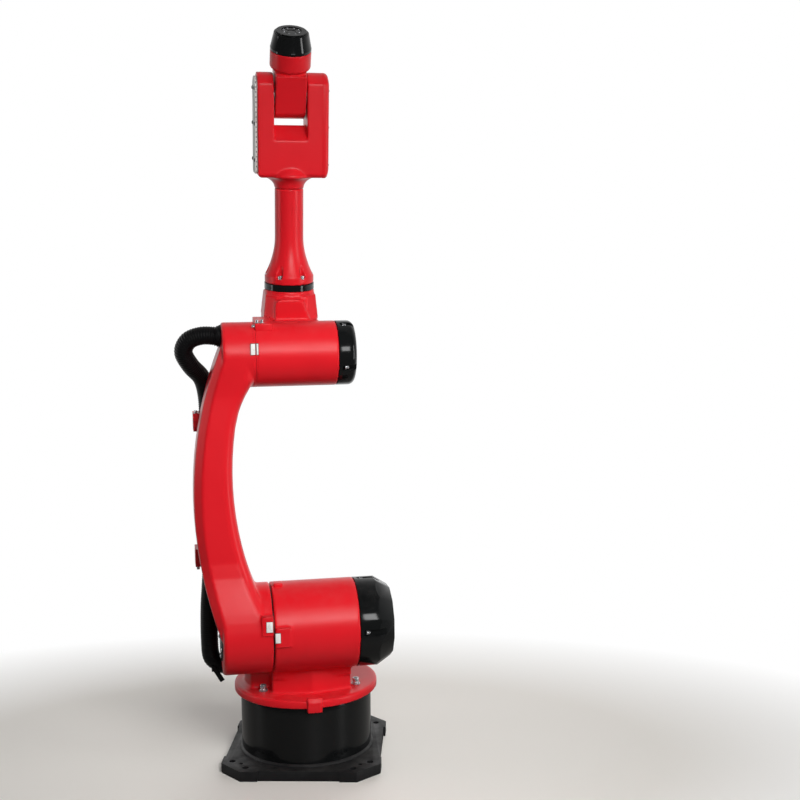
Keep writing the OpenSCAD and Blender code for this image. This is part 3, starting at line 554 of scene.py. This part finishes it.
def washered(d, thick):
    """A socket head cap screw on a flat and a spring washer."""
    return gather([(washer(d, thick), shift(0, 0, 0)), (washer(0.8 * d, 1.3 * thick), shift(0, 0, thick)),
                   (cap_screw(d), shift(0, 0, 2.3 * thick))])


def rounded(x, y, radius, height, edge):
    """A block with round corners about the Z axis and broken ends, standing on Z = 0."""
    bm = bmesh.new()
    bmesh.ops.create_cube(bm, size=1, matrix=shift(0, 0, height / 2) @ Matrix.Diagonal((x, y, height, 1)))

    def rise(e):
        """How far an edge climbs."""
        return abs(e.verts[0].co.z - e.verts[1].co.z)

    bevelled(bm, [e for e in bm.edges if rise(e) > height / 2], radius, 6)
    return bevelled(bm, [e for e in bm.edges if rise(e) < 1e-7], edge)


def round_socket(r, height):
    """A threaded round cable socket with its cap, standing on Z = 0."""
    return turned([(0, 0), (1.25 * r, 0), (1.25 * r, 0.18 * height), (r, 0.2 * height), (r, 0.32 * height),
                   (0.93 * r, 0.36 * height), (r, 0.4 * height), (0.93 * r, 0.45 * height), (r, 0.5 * height),
                   (1.12 * r, 0.54 * height), (1.12 * r, 0.95 * height), (1.05 * r, height), (0, height)], 32)


def hex_bolt(d):
    """A hexagon head bolt on a flat washer, standing on Z = 0."""
    thick = 0.2 * d
    ring = turned([(0, 0), (1.05 * d, 0), (1.05 * d, 0.8 * thick), (d, thick), (0, thick)], 32)
    head = prism(6, 0.92 * d, 0.62 * d)
    bevelled(head, [e for e in head.edges if all(v.co.z > 0.5 * d for v in e.verts)], 0.1 * d, profile=0.6)
    stub = prism(16, 0.5 * d, 0.3 * d)
    return gather([(ring, shift(0, 0, 0)), (head, shift(0, 0, thick)), (stub, shift(0, 0, thick + 0.5 * d))])


# Operators

class ROBOT_OT_finishes(bpy.types.Operator):
    """Makes the finishes and gives each solid its own"""

    bl_idname = "robot.finishes"
    bl_label = "Finishes"

    def execute(self, context):
        make_finishes()
        for part in frame["record"]["subparts"]:
            mesh = nodes[part["node"]].data
            mesh.materials.clear()
            mesh.materials.append(finishes[part["material_slot"]])
        return {"FINISHED"}


class ROBOT_OT_castings(bpy.types.Operator):
    """Builds the red castings as smooth skins"""

    bl_idname = "robot.castings"
    bl_label = "Castings"

    def execute(self, context):
        s = context.scene.robot_sizes
        casting("turret_skin", "turret_casting", "turret", s.grain, s.rounding)
        casting("lower_arm_skin", "lower_arm", "arm", s.grain, s.rounding)
        casting("elbow_skin", "elbow_housing", "elbow", s.grain, s.rounding)
        casting("tube_skin", "forearm_tube", "forearm", s.fine_grain, s.rounding)
        casting("fork_skin", "wrist_fork", "forearm", s.fine_grain, 2 * s.rounding)
        casting("wrist_skin", "wrist_body", "wrist", s.fine_grain, s.rounding)
        return {"FINISHED"}


class ROBOT_OT_hose(bpy.types.Operator):
    """Builds the ribbed cable hose with its glands and clamps"""

    bl_idname = "robot.hose"
    bl_label = "Cable hose"

    def execute(self, context):
        s = context.scene.robot_sizes
        points_per_rib = 6
        route = [ARM @ p for p in self.bends(steps=24)]
        along = [0.0]
        for a, b in zip(route, route[1:]):
            along.append(along[-1] + (b - a).length)
        total = along[-1]
        count = round(total / s.rib_pitch * points_per_rib)
        line = bpy.data.curves.new("hose_line", "CURVE")
        line.dimensions = "3D"
        line.bevel_depth = 1.0
        line.bevel_resolution = 10
        line.use_fill_caps = True
        points = line.splines.new("POLY").points
        points.add(count)
        k = 0
        for i, point in enumerate(points):
            d = total * i / count
            while k < len(along) - 2 and along[k + 1] < d:
                k += 1
            place = route[k].lerp(route[k + 1], (d - along[k]) / (along[k + 1] - along[k]))
            point.co = (*place, 1)
            point.radius = s.hose_d / 2 - s.rib_depth * (0.5 - 0.5 * cos(2 * pi * d / s.rib_pitch))
        guide = bpy.data.objects.new("hose_line", line)
        context.scene.collection.objects.link(guide)
        graph = context.evaluated_depsgraph_get()
        tube = bpy.data.meshes.new_from_object(guide.evaluated_get(graph), depsgraph=graph)
        bm = bmesh.new()
        bm.from_mesh(tube)
        bpy.data.objects.remove(guide)
        hose = piece("ribbed_hose", bm, "arm", "black_hose", smooth=60, replaced=("cable_hose",))
        self.glands()
        self.clamps()
        return {"FINISHED"}

    def bends(self, steps):
        """Points along the smooth curve through the route."""
        for i in range(1, len(HOSE) - 2):
            a, b, c, d = (Vector(p) for p in HOSE[i - 1:i + 3])
            for j in range(steps + (i == len(HOSE) - 3)):
                t = j / steps
                yield 0.5 * (2 * b + (c - a) * t + (2 * a - 5 * b + 4 * c - d) * t * t
                             + (3 * b - a - 3 * c + d) * t * t * t)

    def nut(self, r, height):
        """A hexagon gland nut with a rubber lip, standing on Z = 0."""
        body = prism(6, r, height)
        bevelled(body, body.edges[:], 0.0012)
        bore = 0.021
        lip = turned([(bore, 0), (0.9 * r, 0), (0.88 * r, 0.003), (0.0238, 0.0052), (bore, 0.0055), (bore, 0)], 48)
        return gather([(body, shift(0, 0, 0)), (lip, shift(0, 0, height))])

    def glands(self):
        """The sockets that the hose's two ends go into, and the tail of the lower one's strap."""
        low, high = local_box("hose_gland_upper", ARM)
        r, mid = (high.z - low.z) / 2, (low.z + high.z) / 2
        seat_t, upper_nut_t, lower_nut_t = 0.0045, 0.0055, 0.004
        seat = turned([(0, 0), (r, 0), (r, seat_t - 0.0013), (r - 0.0012, seat_t), (0, seat_t)], 64)
        upper = gather([(seat, ARM @ shift(high.x, 0, mid) @ LEFTWARD),
                        (self.nut(r - 0.0020, upper_nut_t), ARM @ shift(high.x - seat_t, 0, mid) @ LEFTWARD)])
        piece("upper_gland", upper, "arm", "black_hose", replaced=("hose_gland_upper",))
        edged("lower_gland", "hose_gland_lower", "arm", "black_hose", 0.0012)
        low = local_box("hose_gland_lower", ARM)[0]
        end = Vector(HOSE[-2])
        strap = ARM @ shift(low.x - 0.021, 0.080, low.z + 0.021)
        lower = gather([(self.nut(0.0265, lower_nut_t), ARM @ shift(low.x, end.y, end.z) @ LEFTWARD),
                        (slab(-0.006, 0.006, -0.001, 0.001, -0.039, 0, 0.0006),
                         strap @ Matrix.Rotation(radians(-30), 4, "Y")),
                        (slab(-0.007, 0.007, -0.002, 0.004, -0.008, 0.004, 0.001), strap)])
        piece("lower_gland_nut", lower, "arm", "black_hose")

    def clamps(self):
        """The two clamp blocks and their screws."""
        parts = []
        for name, node, up in (("upper_clamp", "hose_clamp_upper", 1), ("lower_clamp", "hose_clamp_lower", -1)):
            edged(name, node, "arm", "red_paint")
            low, high = local_box(node, ARM)
            face = high.z if up > 0 else low.z
            places = [shift(low.x + 0.0065, low.y + 0.006, face) @ facing((0, 0, up))]
            places += [shift(low.x + 0.036, high.y, z) @ REARWARD for z in (low.z + 0.011, high.z - 0.011)]
            parts += [(washered(0.005, 0.001), ARM @ place) for place in places]
        fasteners("clamp_screws", parts, "arm")


class ROBOT_OT_covers(bpy.types.Operator):
    """Builds the motor covers, the fork's covers, the blocks, the plates and the small lugs"""

    bl_idname = "robot.covers"
    bl_label = "Covers"

    def execute(self, context):
        edged("shoulder_cover", "j2_motor_cover", "turret", "black_gloss", 0.002, 3)
        edged("elbow_cover", "j3_motor_cover", "elbow", "black_gloss", 0.0018, 3)
        edged("zero_block", "turret_zero_block", "turret", "red_paint")
        edged("fork_strip", "fork_side_cover", "forearm", "pale_plate", 0.0009)
        edged("belt_cover", "fork_belt_cover", "forearm", "red_paint", 0.0006,
              reach=FOREARM.to_3x3() @ Vector((-0.003, 0, 0)))
        edged("elbow_block", "elbow_top_block", "elbow", "red_paint")
        edged("rear_plate", "elbow_rear_cover", "elbow", "black_gloss")
        edged("head_plate", "j2_head_cover", "arm", "black_gloss", 0.0008)
        self.lugs()
        return {"FINISHED"}

    def lugs(self):
        """Small cast lugs and raised lines that the castings' skins are too coarse for."""
        face = local_box("turret_casting", TURRET)[0].y
        line, back, front = 0.0014, face + 0.004, face - 0.0010
        marks = [slab(-0.090, -0.068, -0.140, -0.112, 0.470, 0.4815, 0.0025, 3),
                 slab(-0.0945, -0.0555, face - 0.0009, back, 0.3932, 0.3955, 0.0004),
                 slab(-0.0945, -0.0625, face - 0.0009, back, 0.3470, 0.3490, 0.0004)]
        piece("housing_lugs", gather([(m, TURRET) for m in marks]), "turret", "red_paint")
        left, right, bottom, top = -0.1252, -0.0990, 0.3766, 0.4240
        rim = [slab(left, left + 0.0012, front, back, bottom, top, 0.0003)]
        rim += [slab(left, right, front, back, z, z + line, 0.0003) for z in (top - line, bottom)]
        piece("pointer_rim", gather([(m, TURRET) for m in rim]), "arm", "red_paint")


class ROBOT_OT_wrist(bpy.types.Operator):
    """Builds the nose, the tool flange, the elbow's red seams and the seal ring at the forearm's foot"""

    bl_idname = "robot.wrist"
    bl_label = "Wrist and seals"

    def execute(self, context):
        low, high = local_box("wrist_nose", WRIST)
        r = high.x
        nose = turned([(0, low.z), (r - 0.0006, low.z), (r, low.z + 0.0007), (r, low.z + 0.0060),
                       (r - 0.0004, low.z + 0.0066), (r - 0.0072, high.z - 0.0032), (r - 0.0079, high.z - 0.0013),
                       (r - 0.0092, high.z - 0.0003), (r - 0.0110, high.z), (0, high.z)], 128)
        piece("nose", placed(nose, WRIST), "wrist", "black_gloss", smooth=24, replaced=("wrist_nose",))
        self.flange()
        low, high = local_box("j3_reducer_ring", ELBOW)
        self.seam("elbow_seam", low.x - 0.0030, high.x - 0.0001, "arm", ("j3_reducer_ring",))
        self.seam("elbow_rim", high.x + 0.0004, high.x + 0.0034, "elbow", ())
        low, high = local_box("j4_seal_ring", FOREARM)
        r, back = high.x, high.x - 0.012
        groove = r - 0.0008
        seal = turned([(back, low.z), (r - 0.0006, low.z), (r, low.z + 0.0006), (r, low.z + 0.0056),
                       (groove, low.z + 0.0062), (groove, low.z + 0.0082), (r, low.z + 0.0088),
                       (r, high.z - 0.0006), (r - 0.0006, high.z), (back, high.z), (back, low.z)], 128)
        piece("seal_ring", placed(seal, FOREARM), "elbow", "black_gloss", "black_steel", smooth=30,
              replaced=("j4_seal_ring",))
        return {"FINISHED"}

    def seam(self, name, x0, x1, body, replaced):
        """A machined red rim on one side of the elbow's seam."""
        inner, edge, wide = 0.055, 0.0002, x1 - x0
        r = local_box("j3_motor_cover", ELBOW)[1].y + 0.0001
        rim = turned([(inner, 0), (r - edge, 0), (r, edge), (r, wide - edge), (r - edge, wide), (inner, wide),
                      (inner, 0)], 128)
        piece(name, placed(rim, ELBOW @ shift(x0, 0, 0) @ RIGHTWARD), body, "red_paint", smooth=30,
              replaced=replaced)

    def flange(self):
        """The tool flange with its recess, bore, threaded holes and ring of screws."""
        low, high = local_box("tool_flange", WRIST)
        top, r, edge = high.z, high.x, 0.0006
        bore, recess, floor = 0.010, 0.0240, high.z - 0.0019
        hole_circle, screw_circle = 0.01575, 0.0195
        disc = turned([(bore, low.z), (r - edge, low.z), (r, low.z + edge), (r, top - edge), (r - edge, top),
                       (recess + 0.0006, top), (recess + 0.0001, top - 0.0004), (recess, floor),
                       (bore + 0.0006, floor), (bore, floor - 0.0005), (bore, low.z)], 96)
        made = piece("flange_disc", placed(disc, WRIST), "tool", "black_gloss", "black_steel", smooth=30,
                     replaced=("tool_flange",))
        drills = gather([(prism(24, 0.0024, 0.010), WRIST @ place)
                         for place in around(hole_circle, 4, 45, low.z - 0.002)])
        tool = new_object("drills", drills)
        cut = made.modifiers.new("Holes", "BOOLEAN")
        cut.object = tool
        cut.solver = "EXACT"
        settle(made)
        made.data.set_sharp_from_angle(angle=radians(30))
        bpy.data.objects.remove(tool)
        ring = [(button_screw(0.0026), WRIST @ place) for place in around(screw_circle, 8, 22.5, floor)]
        fasteners("flange_screws", ring, "tool")


class ROBOT_OT_motors(bpy.types.Operator):
    """Builds the motors of the first and fourth joint, and the first one's sockets"""

    bl_idname = "robot.motors"
    bl_label = "Motors"

    def execute(self, context):
        low, high = local_box("j1_motor", TURRET)
        seat = TURRET @ shift((low.x + high.x) / 2, (low.y + high.y) / 2, low.z)
        screws = self.motor("turret_motor", "j1_motor", "turret", seat, high.x - low.x, high.z - low.z)
        fasteners("turret_motor_screws", screws, "turret")
        low, high = local_box("j1_motor_connector", TURRET)
        mid = ((low.x + high.x) / 2, (low.y + high.y) / 2)
        tall = high.z - low.z
        foot = 0.45 * tall
        plugs = [(rounded(high.x - low.x, high.y - low.y, 0.004, foot, 0.0012), TURRET @ shift(*mid, low.z))]
        plugs += [(round_socket(r, tall - foot), TURRET @ shift(mid[0] + x, mid[1] + y, low.z + foot))
                  for r, x, y in ((0.0095, -0.009, 0.011), (0.0075, 0.011, -0.012))]
        piece("turret_motor_sockets", gather(plugs), "turret", "black_satin", replaced=("j1_motor_connector",))
        low, high = local_box("j4_motor", ELBOW)
        seat = (ELBOW @ shift((low.x + high.x) / 2, low.y, (low.z + high.z) / 2)
                @ Matrix.Rotation(-pi / 2, 4, "X"))
        screws = self.motor("forearm_motor", "j4_motor", "elbow", seat, high.x - low.x, high.y - low.y)
        low, high = local_box("elbow_rear_cover", ELBOW)
        for x in (low.x + 0.0055, high.x - 0.0055):
            for z in (low.z + 0.008, (low.z + high.z) / 2, high.z - 0.008):
                screws.append((cap_screw(0.004), ELBOW @ shift(x, high.y, z) @ REARWARD))
        fasteners("forearm_motor_screws", screws, "elbow")
        return {"FINISHED"}

    def motor(self, name, node, body, seat, width, length):
        """A square motor along Z: flange, ribbed body and brake cap; returns its screws."""
        flange, cap = 0.09 * length, 0.2 * length
        core, face, rib = width - 0.008, -width / 2, 0.0022
        parts = [(rounded(width, width, 0.008, flange, 0.0012), seat),
                 (rounded(core, core, 0.012, length - flange - cap, 0.0008), seat @ shift(0, 0, flange)),
                 (rounded(width - 0.003, width - 0.003, 0.011, cap - 0.0015, 0.002),
                  seat @ shift(0, 0, length - cap + 0.0015))]
        for i in range(4):
            side = seat @ Matrix.Rotation(i * pi / 2, 4, "Z")
            for x in (-0.024, -0.012, 0.0, 0.012, 0.024):
                parts.append((slab(x - rib, x + rib, face + rib, face + 0.006, flange + 0.004,
                                   length - cap - 0.003, 0.0007), side))
        piece(name, gather(parts), body, "black_satin", replaced=(node,))
        corner = width / 2 - 0.0075
        places = [(x, y) for x in (-corner, corner) for y in (-corner, corner)]
        screws = [(cap_screw(0.0045), seat @ shift(x, y, flange)) for x, y in places]
        return screws + [(cap_screw(0.004), seat @ shift(0.86 * x, 0.86 * y, length)) for x, y in places]


class ROBOT_OT_base(bpy.types.Operator):
    """Builds the drum with its weld, the base plate and the connector box"""

    bl_idname = "robot.base"
    bl_label = "Base"

    def execute(self, context):
        low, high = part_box("base_drum")
        foot, bead, wall = high.x, 0.005, 0.02
        r, z0, z1 = foot - bead, low.z, high.z
        inner = r - wall
        edged("plate_casting", "base_plate", "base", "black_satin", 0.0022, 3)
        drum = turned([(inner, z0), (r, z0), (r, z0 + wall), (r, z1 - wall), (r, z1 - 0.0015),
                       (r - 0.0004, z1 - 0.0005), (r - 0.0015, z1), (inner, z1), (inner, z0)], 144)
        piece("drum_shell", drum, "base", "black_gloss", smooth=40, replaced=("base_drum",))
        inner = r - 0.004
        weld = turned([(inner, z0), (foot, z0), (foot - 0.0003, z0 + 0.0022), (foot - 0.0016, z0 + 0.0038),
                       (r + 0.0012, z0 + 0.0052), (r + 0.0003, z0 + 0.0064), (inner, z0 + 0.0064), (inner, z0)],
                      144)
        piece("drum_weld", weld, "base", "black_satin", smooth=60)
        edged("connector_box", "rear_connector_box", "base", "black_satin", 0.002, 3)
        self.sockets()
        return {"FINISHED"}

    def sockets(self):
        """Two rectangular sockets with their latches, two round ports and the earth stud at the rear."""
        low, high = local_box("rear_connector_box", BASE)
        back = high.y
        hoods, shiny = [], []
        for x in (-0.030, 0.030):
            z = high.z - 0.036
            place = shift(x, back, z) @ REARWARD
            hoods += [(rounded(0.044, 0.034, 0.004, 0.006, 0.001), place),
                      (rounded(0.036, 0.024, 0.003, 0.0085, 0.001), place)]
            for side in (-0.0235, 0.0235):
                shiny.append((slab(x + side - 0.0012, x + side + 0.0012, back + 0.0005, back + 0.0075,
                                   z - 0.012, z + 0.012, 0.0005), BASE))
            shiny += [(button_screw(0.0022), shift(x + side, back + 0.006, z + rise) @ REARWARD)
                      for side in (-0.019, 0.019) for rise in (-0.0145, 0.0145)]
        shiny += [(round_socket(0.009, 0.0085), shift(x, back, low.z + 0.027) @ REARWARD)
                  for x in (-0.032, -0.004)]
        shiny.append((hex_bolt(0.006), shift(0.034, back, low.z + 0.025) @ REARWARD))
        shiny += [(button_screw(0.004), shift(x, back, z) @ REARWARD)
                  for x in (low.x + 0.006, high.x - 0.006) for z in (low.z + 0.006, high.z - 0.006)]
        piece("socket_hoods", gather(hoods), "base", "black_satin")
        fasteners("socket_fittings", shiny, "base")


class ROBOT_OT_marks(bpy.types.Operator):
    """Sets the bare white plates at the zero positions, each in a dark frame that is painted shadow"""

    bl_idname = "robot.marks"
    bl_label = "Zero marks"

    def execute(self, context):
        face = local_box("turret_casting", TURRET)[0].y
        self.plate("housing_mark", "turret", -0.0952, -0.0830, face, 0.3581, 0.3817)
        self.plate("pointer_plate", "arm", -0.1157, -0.1009, face, 0.3853, 0.4105)
        elbow_z = joints["j3_elbow"]["pos_m"][2]
        face = (TURRET.inverted() @ ELBOW.translation).y - local_box("j3_motor_cover", ELBOW)[1].y - 0.0004
        for name, body, x0, x1 in (("elbow_mark", "arm", -0.1358, -0.1253),
                                   ("elbow_pointer", "elbow", -0.1222, -0.1180)):
            self.plate(name, body, x0, x1, face, elbow_z + 0.004, elbow_z + 0.030)
        return {"FINISHED"}

    def plate(self, name, body, x0, x1, face, z0, z1):
        """A white plate that stands on a face looking along -Y, in a thin dark frame that is painted shadow: the
        shade of the recess round the plate.
        """
        rim, broken = 0.0008, 0.0003
        # The black backing, a little larger than the plate, is painted shadow that stands in for the shaded recess
        # round it.
        edge = slab(x0 - rim, x1 + rim, face - 0.0009, face + 0.0030, z0 - rim, z1 + rim, broken)
        piece(name + "_painted_shadow", placed(edge, TURRET), body, "black_hose")
        front = slab(x0, x1, face - 0.0015, face + 0.0020, z0, z1, broken)
        piece(name, placed(front, TURRET), body, "white_mark", "pale_plate")


class ROBOT_OT_screws(bpy.types.Operator):
    """Sets the bolts and screws"""

    bl_idname = "robot.screws"
    bl_label = "Bolts and screws"

    def execute(self, context):
        s = context.scene.robot_sizes
        top = local_box("j1_motor", TURRET)[0].z
        places = [radians(a) for a in (-144.3, -35.3, 35.3, 144.3)]
        ring = [(washered(0.0105, 0.0028), TURRET @ shift(s.ring_bolt_at * cos(a), s.ring_bolt_at * sin(a), top))
                for a in places]
        fasteners("ring_bolts", ring, "turret")
        self.covers()
        self.elbow()
        self.fork()
        return {"FINISHED"}

    def covers(self):
        """The screws in the slots of the motor covers and round the head plate."""
        slot_depth, elbow_cover_r = 0.0055, 0.078
        for name, node, body, place, turn in (
                ("shoulder_cover_screws", "j2_motor_cover", "turret", ARM, 0),
                ("elbow_cover_screws", "j3_motor_cover", "elbow", ELBOW, 15)):
            low, high = local_box(node, place)
            out = (high.z if turn == 0 else elbow_cover_r) - slot_depth
            slots = [(washered(0.006, 0.0012), place @ Matrix.Rotation(radians(turn + 90 * i), 4, "X")
                      @ shift(low.x + 0.0135, 0, out) @ RIGHTWARD) for i in range(4)]
            fasteners(name, slots, body)
        low, high = local_box("j2_head_cover", ARM)
        r = high.z - 0.009
        round_plate = [(button_screw(0.005), ARM @ shift(low.x, r * cos(a), r * sin(a)) @ LEFTWARD)
                       for a in (radians(30 + 60 * i) for i in range(6))]
        piece("head_plate_screws", gather(round_plate), "arm", "zinc_screws", "black_steel")

    def elbow(self):
        """The screws of the elbow's top block and of the forearm's foot."""
        low, high = local_box("elbow_top_block", ELBOW)
        places = [shift(low.x + x, -0.030, high.z) for x in (0.0055, 0.0165)]
        places.append(shift(low.x, -0.030, high.z - 0.008) @ LEFTWARD)
        block = [(washered(0.005, 0.0012), ELBOW @ place) for place in places]
        fasteners("elbow_block_screws", block, "elbow")
        foot = local_box("forearm_tube", FOREARM)[0].z + 0.014
        pockets = [(cap_screw(0.008), FOREARM @ place) for place in around(0.053, 6, 0, foot)]
        fasteners("tube_foot_screws", pockets, "forearm")

    def fork(self):
        """The screws of the fork's two covers and the short dark dashes along the pale one."""
        low = local_box("fork_side_cover", FOREARM)[0]
        dark = [(button_screw(0.0048), FOREARM @ shift(low.x, y, z) @ LEFTWARD)
                for z in (0.614, 0.532, 0.447) for y in (-0.029, 0.029)]
        dash, pitch, dashes = 0.0034, 0.0115, 18
        for k in range(dashes):
            z = low.z + 0.016 + pitch * k
            dark.append((slab(low.x + 0.0020, low.x + 0.0038, low.y - 0.0002, low.y + 0.0010, z, z + dash, 0.0),
                         FOREARM))
        high = local_box("fork_belt_cover", FOREARM)[1]
        dark += [(button_screw(0.0036), FOREARM @ shift(high.x, y, z) @ RIGHTWARD)
                 for z in (0.610, 0.525, 0.4365) for y in (-0.028, 0.028)]
        piece("fork_screws", gather(dark), "forearm", "black_steel")


class ROBOT_OT_stage(bpy.types.Operator):
    """Sets the camera, the soft lights, the white background and the pale floor"""

    bl_idname = "robot.stage"
    bl_label = "Stage"
    aim = Vector((0, 0, 0.55))

    def execute(self, context):
        c = context.scene.robot_camera
        camera = bpy.data.cameras.new("camera")
        camera.lens = c.lens
        camera.sensor_width = 36
        view = bpy.data.objects.new("camera", camera)
        view.matrix_world = (Matrix.Rotation(c.heading, 4, "Z") @ Matrix.Translation(c.at)
                             @ Matrix.Rotation(pi / 2 - c.pitch, 4, "X") @ Matrix.Rotation(c.roll, 4, "Z"))
        context.scene.collection.objects.link(view)
        context.scene.camera = view
        context.scene.view_settings.view_transform = "Standard"
        self.light("soft_key", 24, 34, 2.6, (1.1, 1.1), 8.5, glossy=False, spread=72)
        self.light("window", 20, 22, 4.2, (1.1, 1.0), 32)
        self.light("side_window", 70, 9, 3.4, (0.5, 2.2), 26)
        self.light("roof_panel", 100, 84, 2.8, (1.6, 0.6), 6, glossy=False)
        self.light("left_fill", -82, 12, 3.6, (0.6, 1.8), 13)
        self.light("back_fill", 168, 18, 3.6, (1.6, 1.6), 50, glossy=False)
        self.world(context)
        self.floor(context)
        return {"FINISHED"}

    def light(self, name, azimuth, elevation, away, size, power, glossy=True, spread=180):
        """A soft panel of light; the azimuth turns from the front towards the right, in degrees."""
        lamp = bpy.data.lights.new(name, "AREA")
        lamp.shape = "RECTANGLE"
        lamp.size, lamp.size_y = size
        lamp.energy = power
        lamp.spread = radians(spread)
        made = bpy.data.objects.new(name, lamp)
        a, e = radians(azimuth), radians(elevation)
        way = Vector((cos(e) * sin(a), -cos(e) * cos(a), sin(e)))
        made.matrix_world = Matrix.Translation(self.aim + away * way) @ facing(way)
        made.visible_glossy = glossy
        bpy.context.scene.collection.objects.link(made)

    def world(self, context):
        """White to the camera; glossy rays see it dim in front and overhead, and the rest see a dim room."""
        front, overhead, fill = 0.12, 0.35, 0.12
        world = bpy.data.worlds.new("studio")
        context.scene.world = world
        world.use_nodes = True
        tree = world.node_tree
        back = tree.nodes["Background"]
        path = tree.nodes.new("ShaderNodeLightPath").outputs
        seen = maths(tree, "MAXIMUM", path["Is Camera Ray"], path["Is Transmission Ray"])
        way = tree.nodes.new("ShaderNodeSeparateXYZ")
        tree.links.new(tree.nodes.new("ShaderNodeTexCoord").outputs["Generated"], way.inputs[0])
        room = maths(tree, "MULTIPLY", remap(tree, way.outputs["Y"], -0.2, 0.6, front, 1.0),
                     remap(tree, way.outputs["Z"], 0.25, 0.9, 1.0, overhead))
        room = maths(tree, "MULTIPLY", room, path["Is Glossy Ray"])
        dim = maths(tree, "MULTIPLY", maths(tree, "SUBTRACT", 1.0, path["Is Glossy Ray"]), fill)
        back.inputs["Color"].default_value = (1, 1, 1, 1)
        tree.links.new(maths(tree, "MAXIMUM", maths(tree, "MAXIMUM", seen, room), dim), back.inputs["Strength"])

    def floor(self, context):
        """A pale floor that fades into the white background and throws back less light than it shows."""
        thrown_back, shade_from, shade_to = 0.3, 0.55, 1.05
        bm = bmesh.new()
        bmesh.ops.create_grid(bm, x_segments=1, y_segments=1, size=12)
        floor = new_object("floor", bm)
        material = bpy.data.materials.new("pale_floor")
        material.use_nodes = True
        tree = material.node_tree
        shader = tree.nodes["Principled BSDF"]
        shader.inputs["Roughness"].default_value = 0.5
        path = tree.nodes.new("ShaderNodeLightPath").outputs
        tone = tree.nodes.new("ShaderNodeMix")
        tone.data_type = "RGBA"
        colour = context.scene.robot_colours.floor
        tone.inputs["A"].default_value = (*colour, 1)
        tone.inputs["B"].default_value = (*[thrown_back * v for v in colour], 1)
        tree.links.new(maths(tree, "SUBTRACT", 1.0, path["Is Camera Ray"]), tone.inputs["Factor"])
        tree.links.new(tone.outputs["Result"], shader.inputs["Base Color"])
        at = tree.nodes.new("ShaderNodeTexCoord").outputs["Object"]
        squeeze = tree.nodes.new("ShaderNodeMapping")
        squeeze.inputs["Scale"].default_value = (0.6, 1, 1)
        tree.links.new(at, squeeze.inputs["Vector"])
        far = tree.nodes.new("ShaderNodeVectorMath")
        far.operation = "LENGTH"
        tree.links.new(squeeze.outputs[0], far.inputs[0])
        fade = remap(tree, far.outputs["Value"], shade_from, shade_to)
        seen = maths(tree, "MAXIMUM", path["Is Camera Ray"], path["Is Glossy Ray"])
        split = tree.nodes.new("ShaderNodeSeparateXYZ")
        tree.links.new(at, split.inputs[0])
        glow = tree.nodes.new("ShaderNodeEmission")
        behind = remap(tree, split.outputs["Y"], -0.6, 1.4, 0.12, 1.0)
        tree.links.new(maths(tree, "MAXIMUM", behind, path["Is Camera Ray"]), glow.inputs["Strength"])
        blend = tree.nodes.new("ShaderNodeMixShader")
        tree.links.new(maths(tree, "MULTIPLY", fade, seen), blend.inputs[0])
        tree.links.new(shader.outputs[0], blend.inputs[1])
        tree.links.new(glow.outputs[0], blend.inputs[2])
        tree.links.new(blend.outputs[0], tree.nodes["Material Output"].inputs["Surface"])
        floor.data.materials.append(material)
        floor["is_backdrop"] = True


class ROBOT_PT_panel(bpy.types.Panel):
    """Lists the steps and sizes in the sidebar"""

    bl_idname = "ROBOT_PT_panel"
    bl_label = "Robot arm"
    bl_space_type = "VIEW_3D"
    bl_region_type = "UI"
    bl_category = "Robot arm"

    def draw(self, context):
        for step in STEPS:
            self.layout.operator(step.bl_idname)
        for group in (context.scene.robot_sizes, context.scene.robot_colours, context.scene.robot_camera):
            for label in group.__annotations__:
                self.layout.prop(group, label)


STEPS = (ROBOT_OT_stage, ROBOT_OT_finishes, ROBOT_OT_hose, ROBOT_OT_castings, ROBOT_OT_covers, ROBOT_OT_wrist,
         ROBOT_OT_motors, ROBOT_OT_base, ROBOT_OT_marks, ROBOT_OT_screws)
GROUPS = (RobotSizes, RobotColours, RobotCamera)


def register():
    for item in GROUPS + STEPS + (ROBOT_PT_panel,):
        bpy.utils.register_class(item)
    bpy.types.Scene.robot_sizes = PointerProperty(type=RobotSizes)
    bpy.types.Scene.robot_colours = PointerProperty(type=RobotColours)
    bpy.types.Scene.robot_camera = PointerProperty(type=RobotCamera)


def unregister():
    del bpy.types.Scene.robot_sizes, bpy.types.Scene.robot_colours, bpy.types.Scene.robot_camera
    for item in reversed(GROUPS + STEPS + (ROBOT_PT_panel,)):
        bpy.utils.unregister_class(item)


def main():
    register()
    bpy.ops.robot.stage()
    bpy.ops.robot.finishes()
    bpy.ops.robot.hose()
    bpy.ops.robot.castings()
    bpy.ops.robot.covers()
    bpy.ops.robot.wrist()
    bpy.ops.robot.motors()
    bpy.ops.robot.base()
    bpy.ops.robot.marks()
    bpy.ops.robot.screws()
    plain = lambda box: [list(corner) for corner in box]
    {"cad": plain(cad_box), "visual": plain(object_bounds())}


if __name__ == "__main__":
    main()
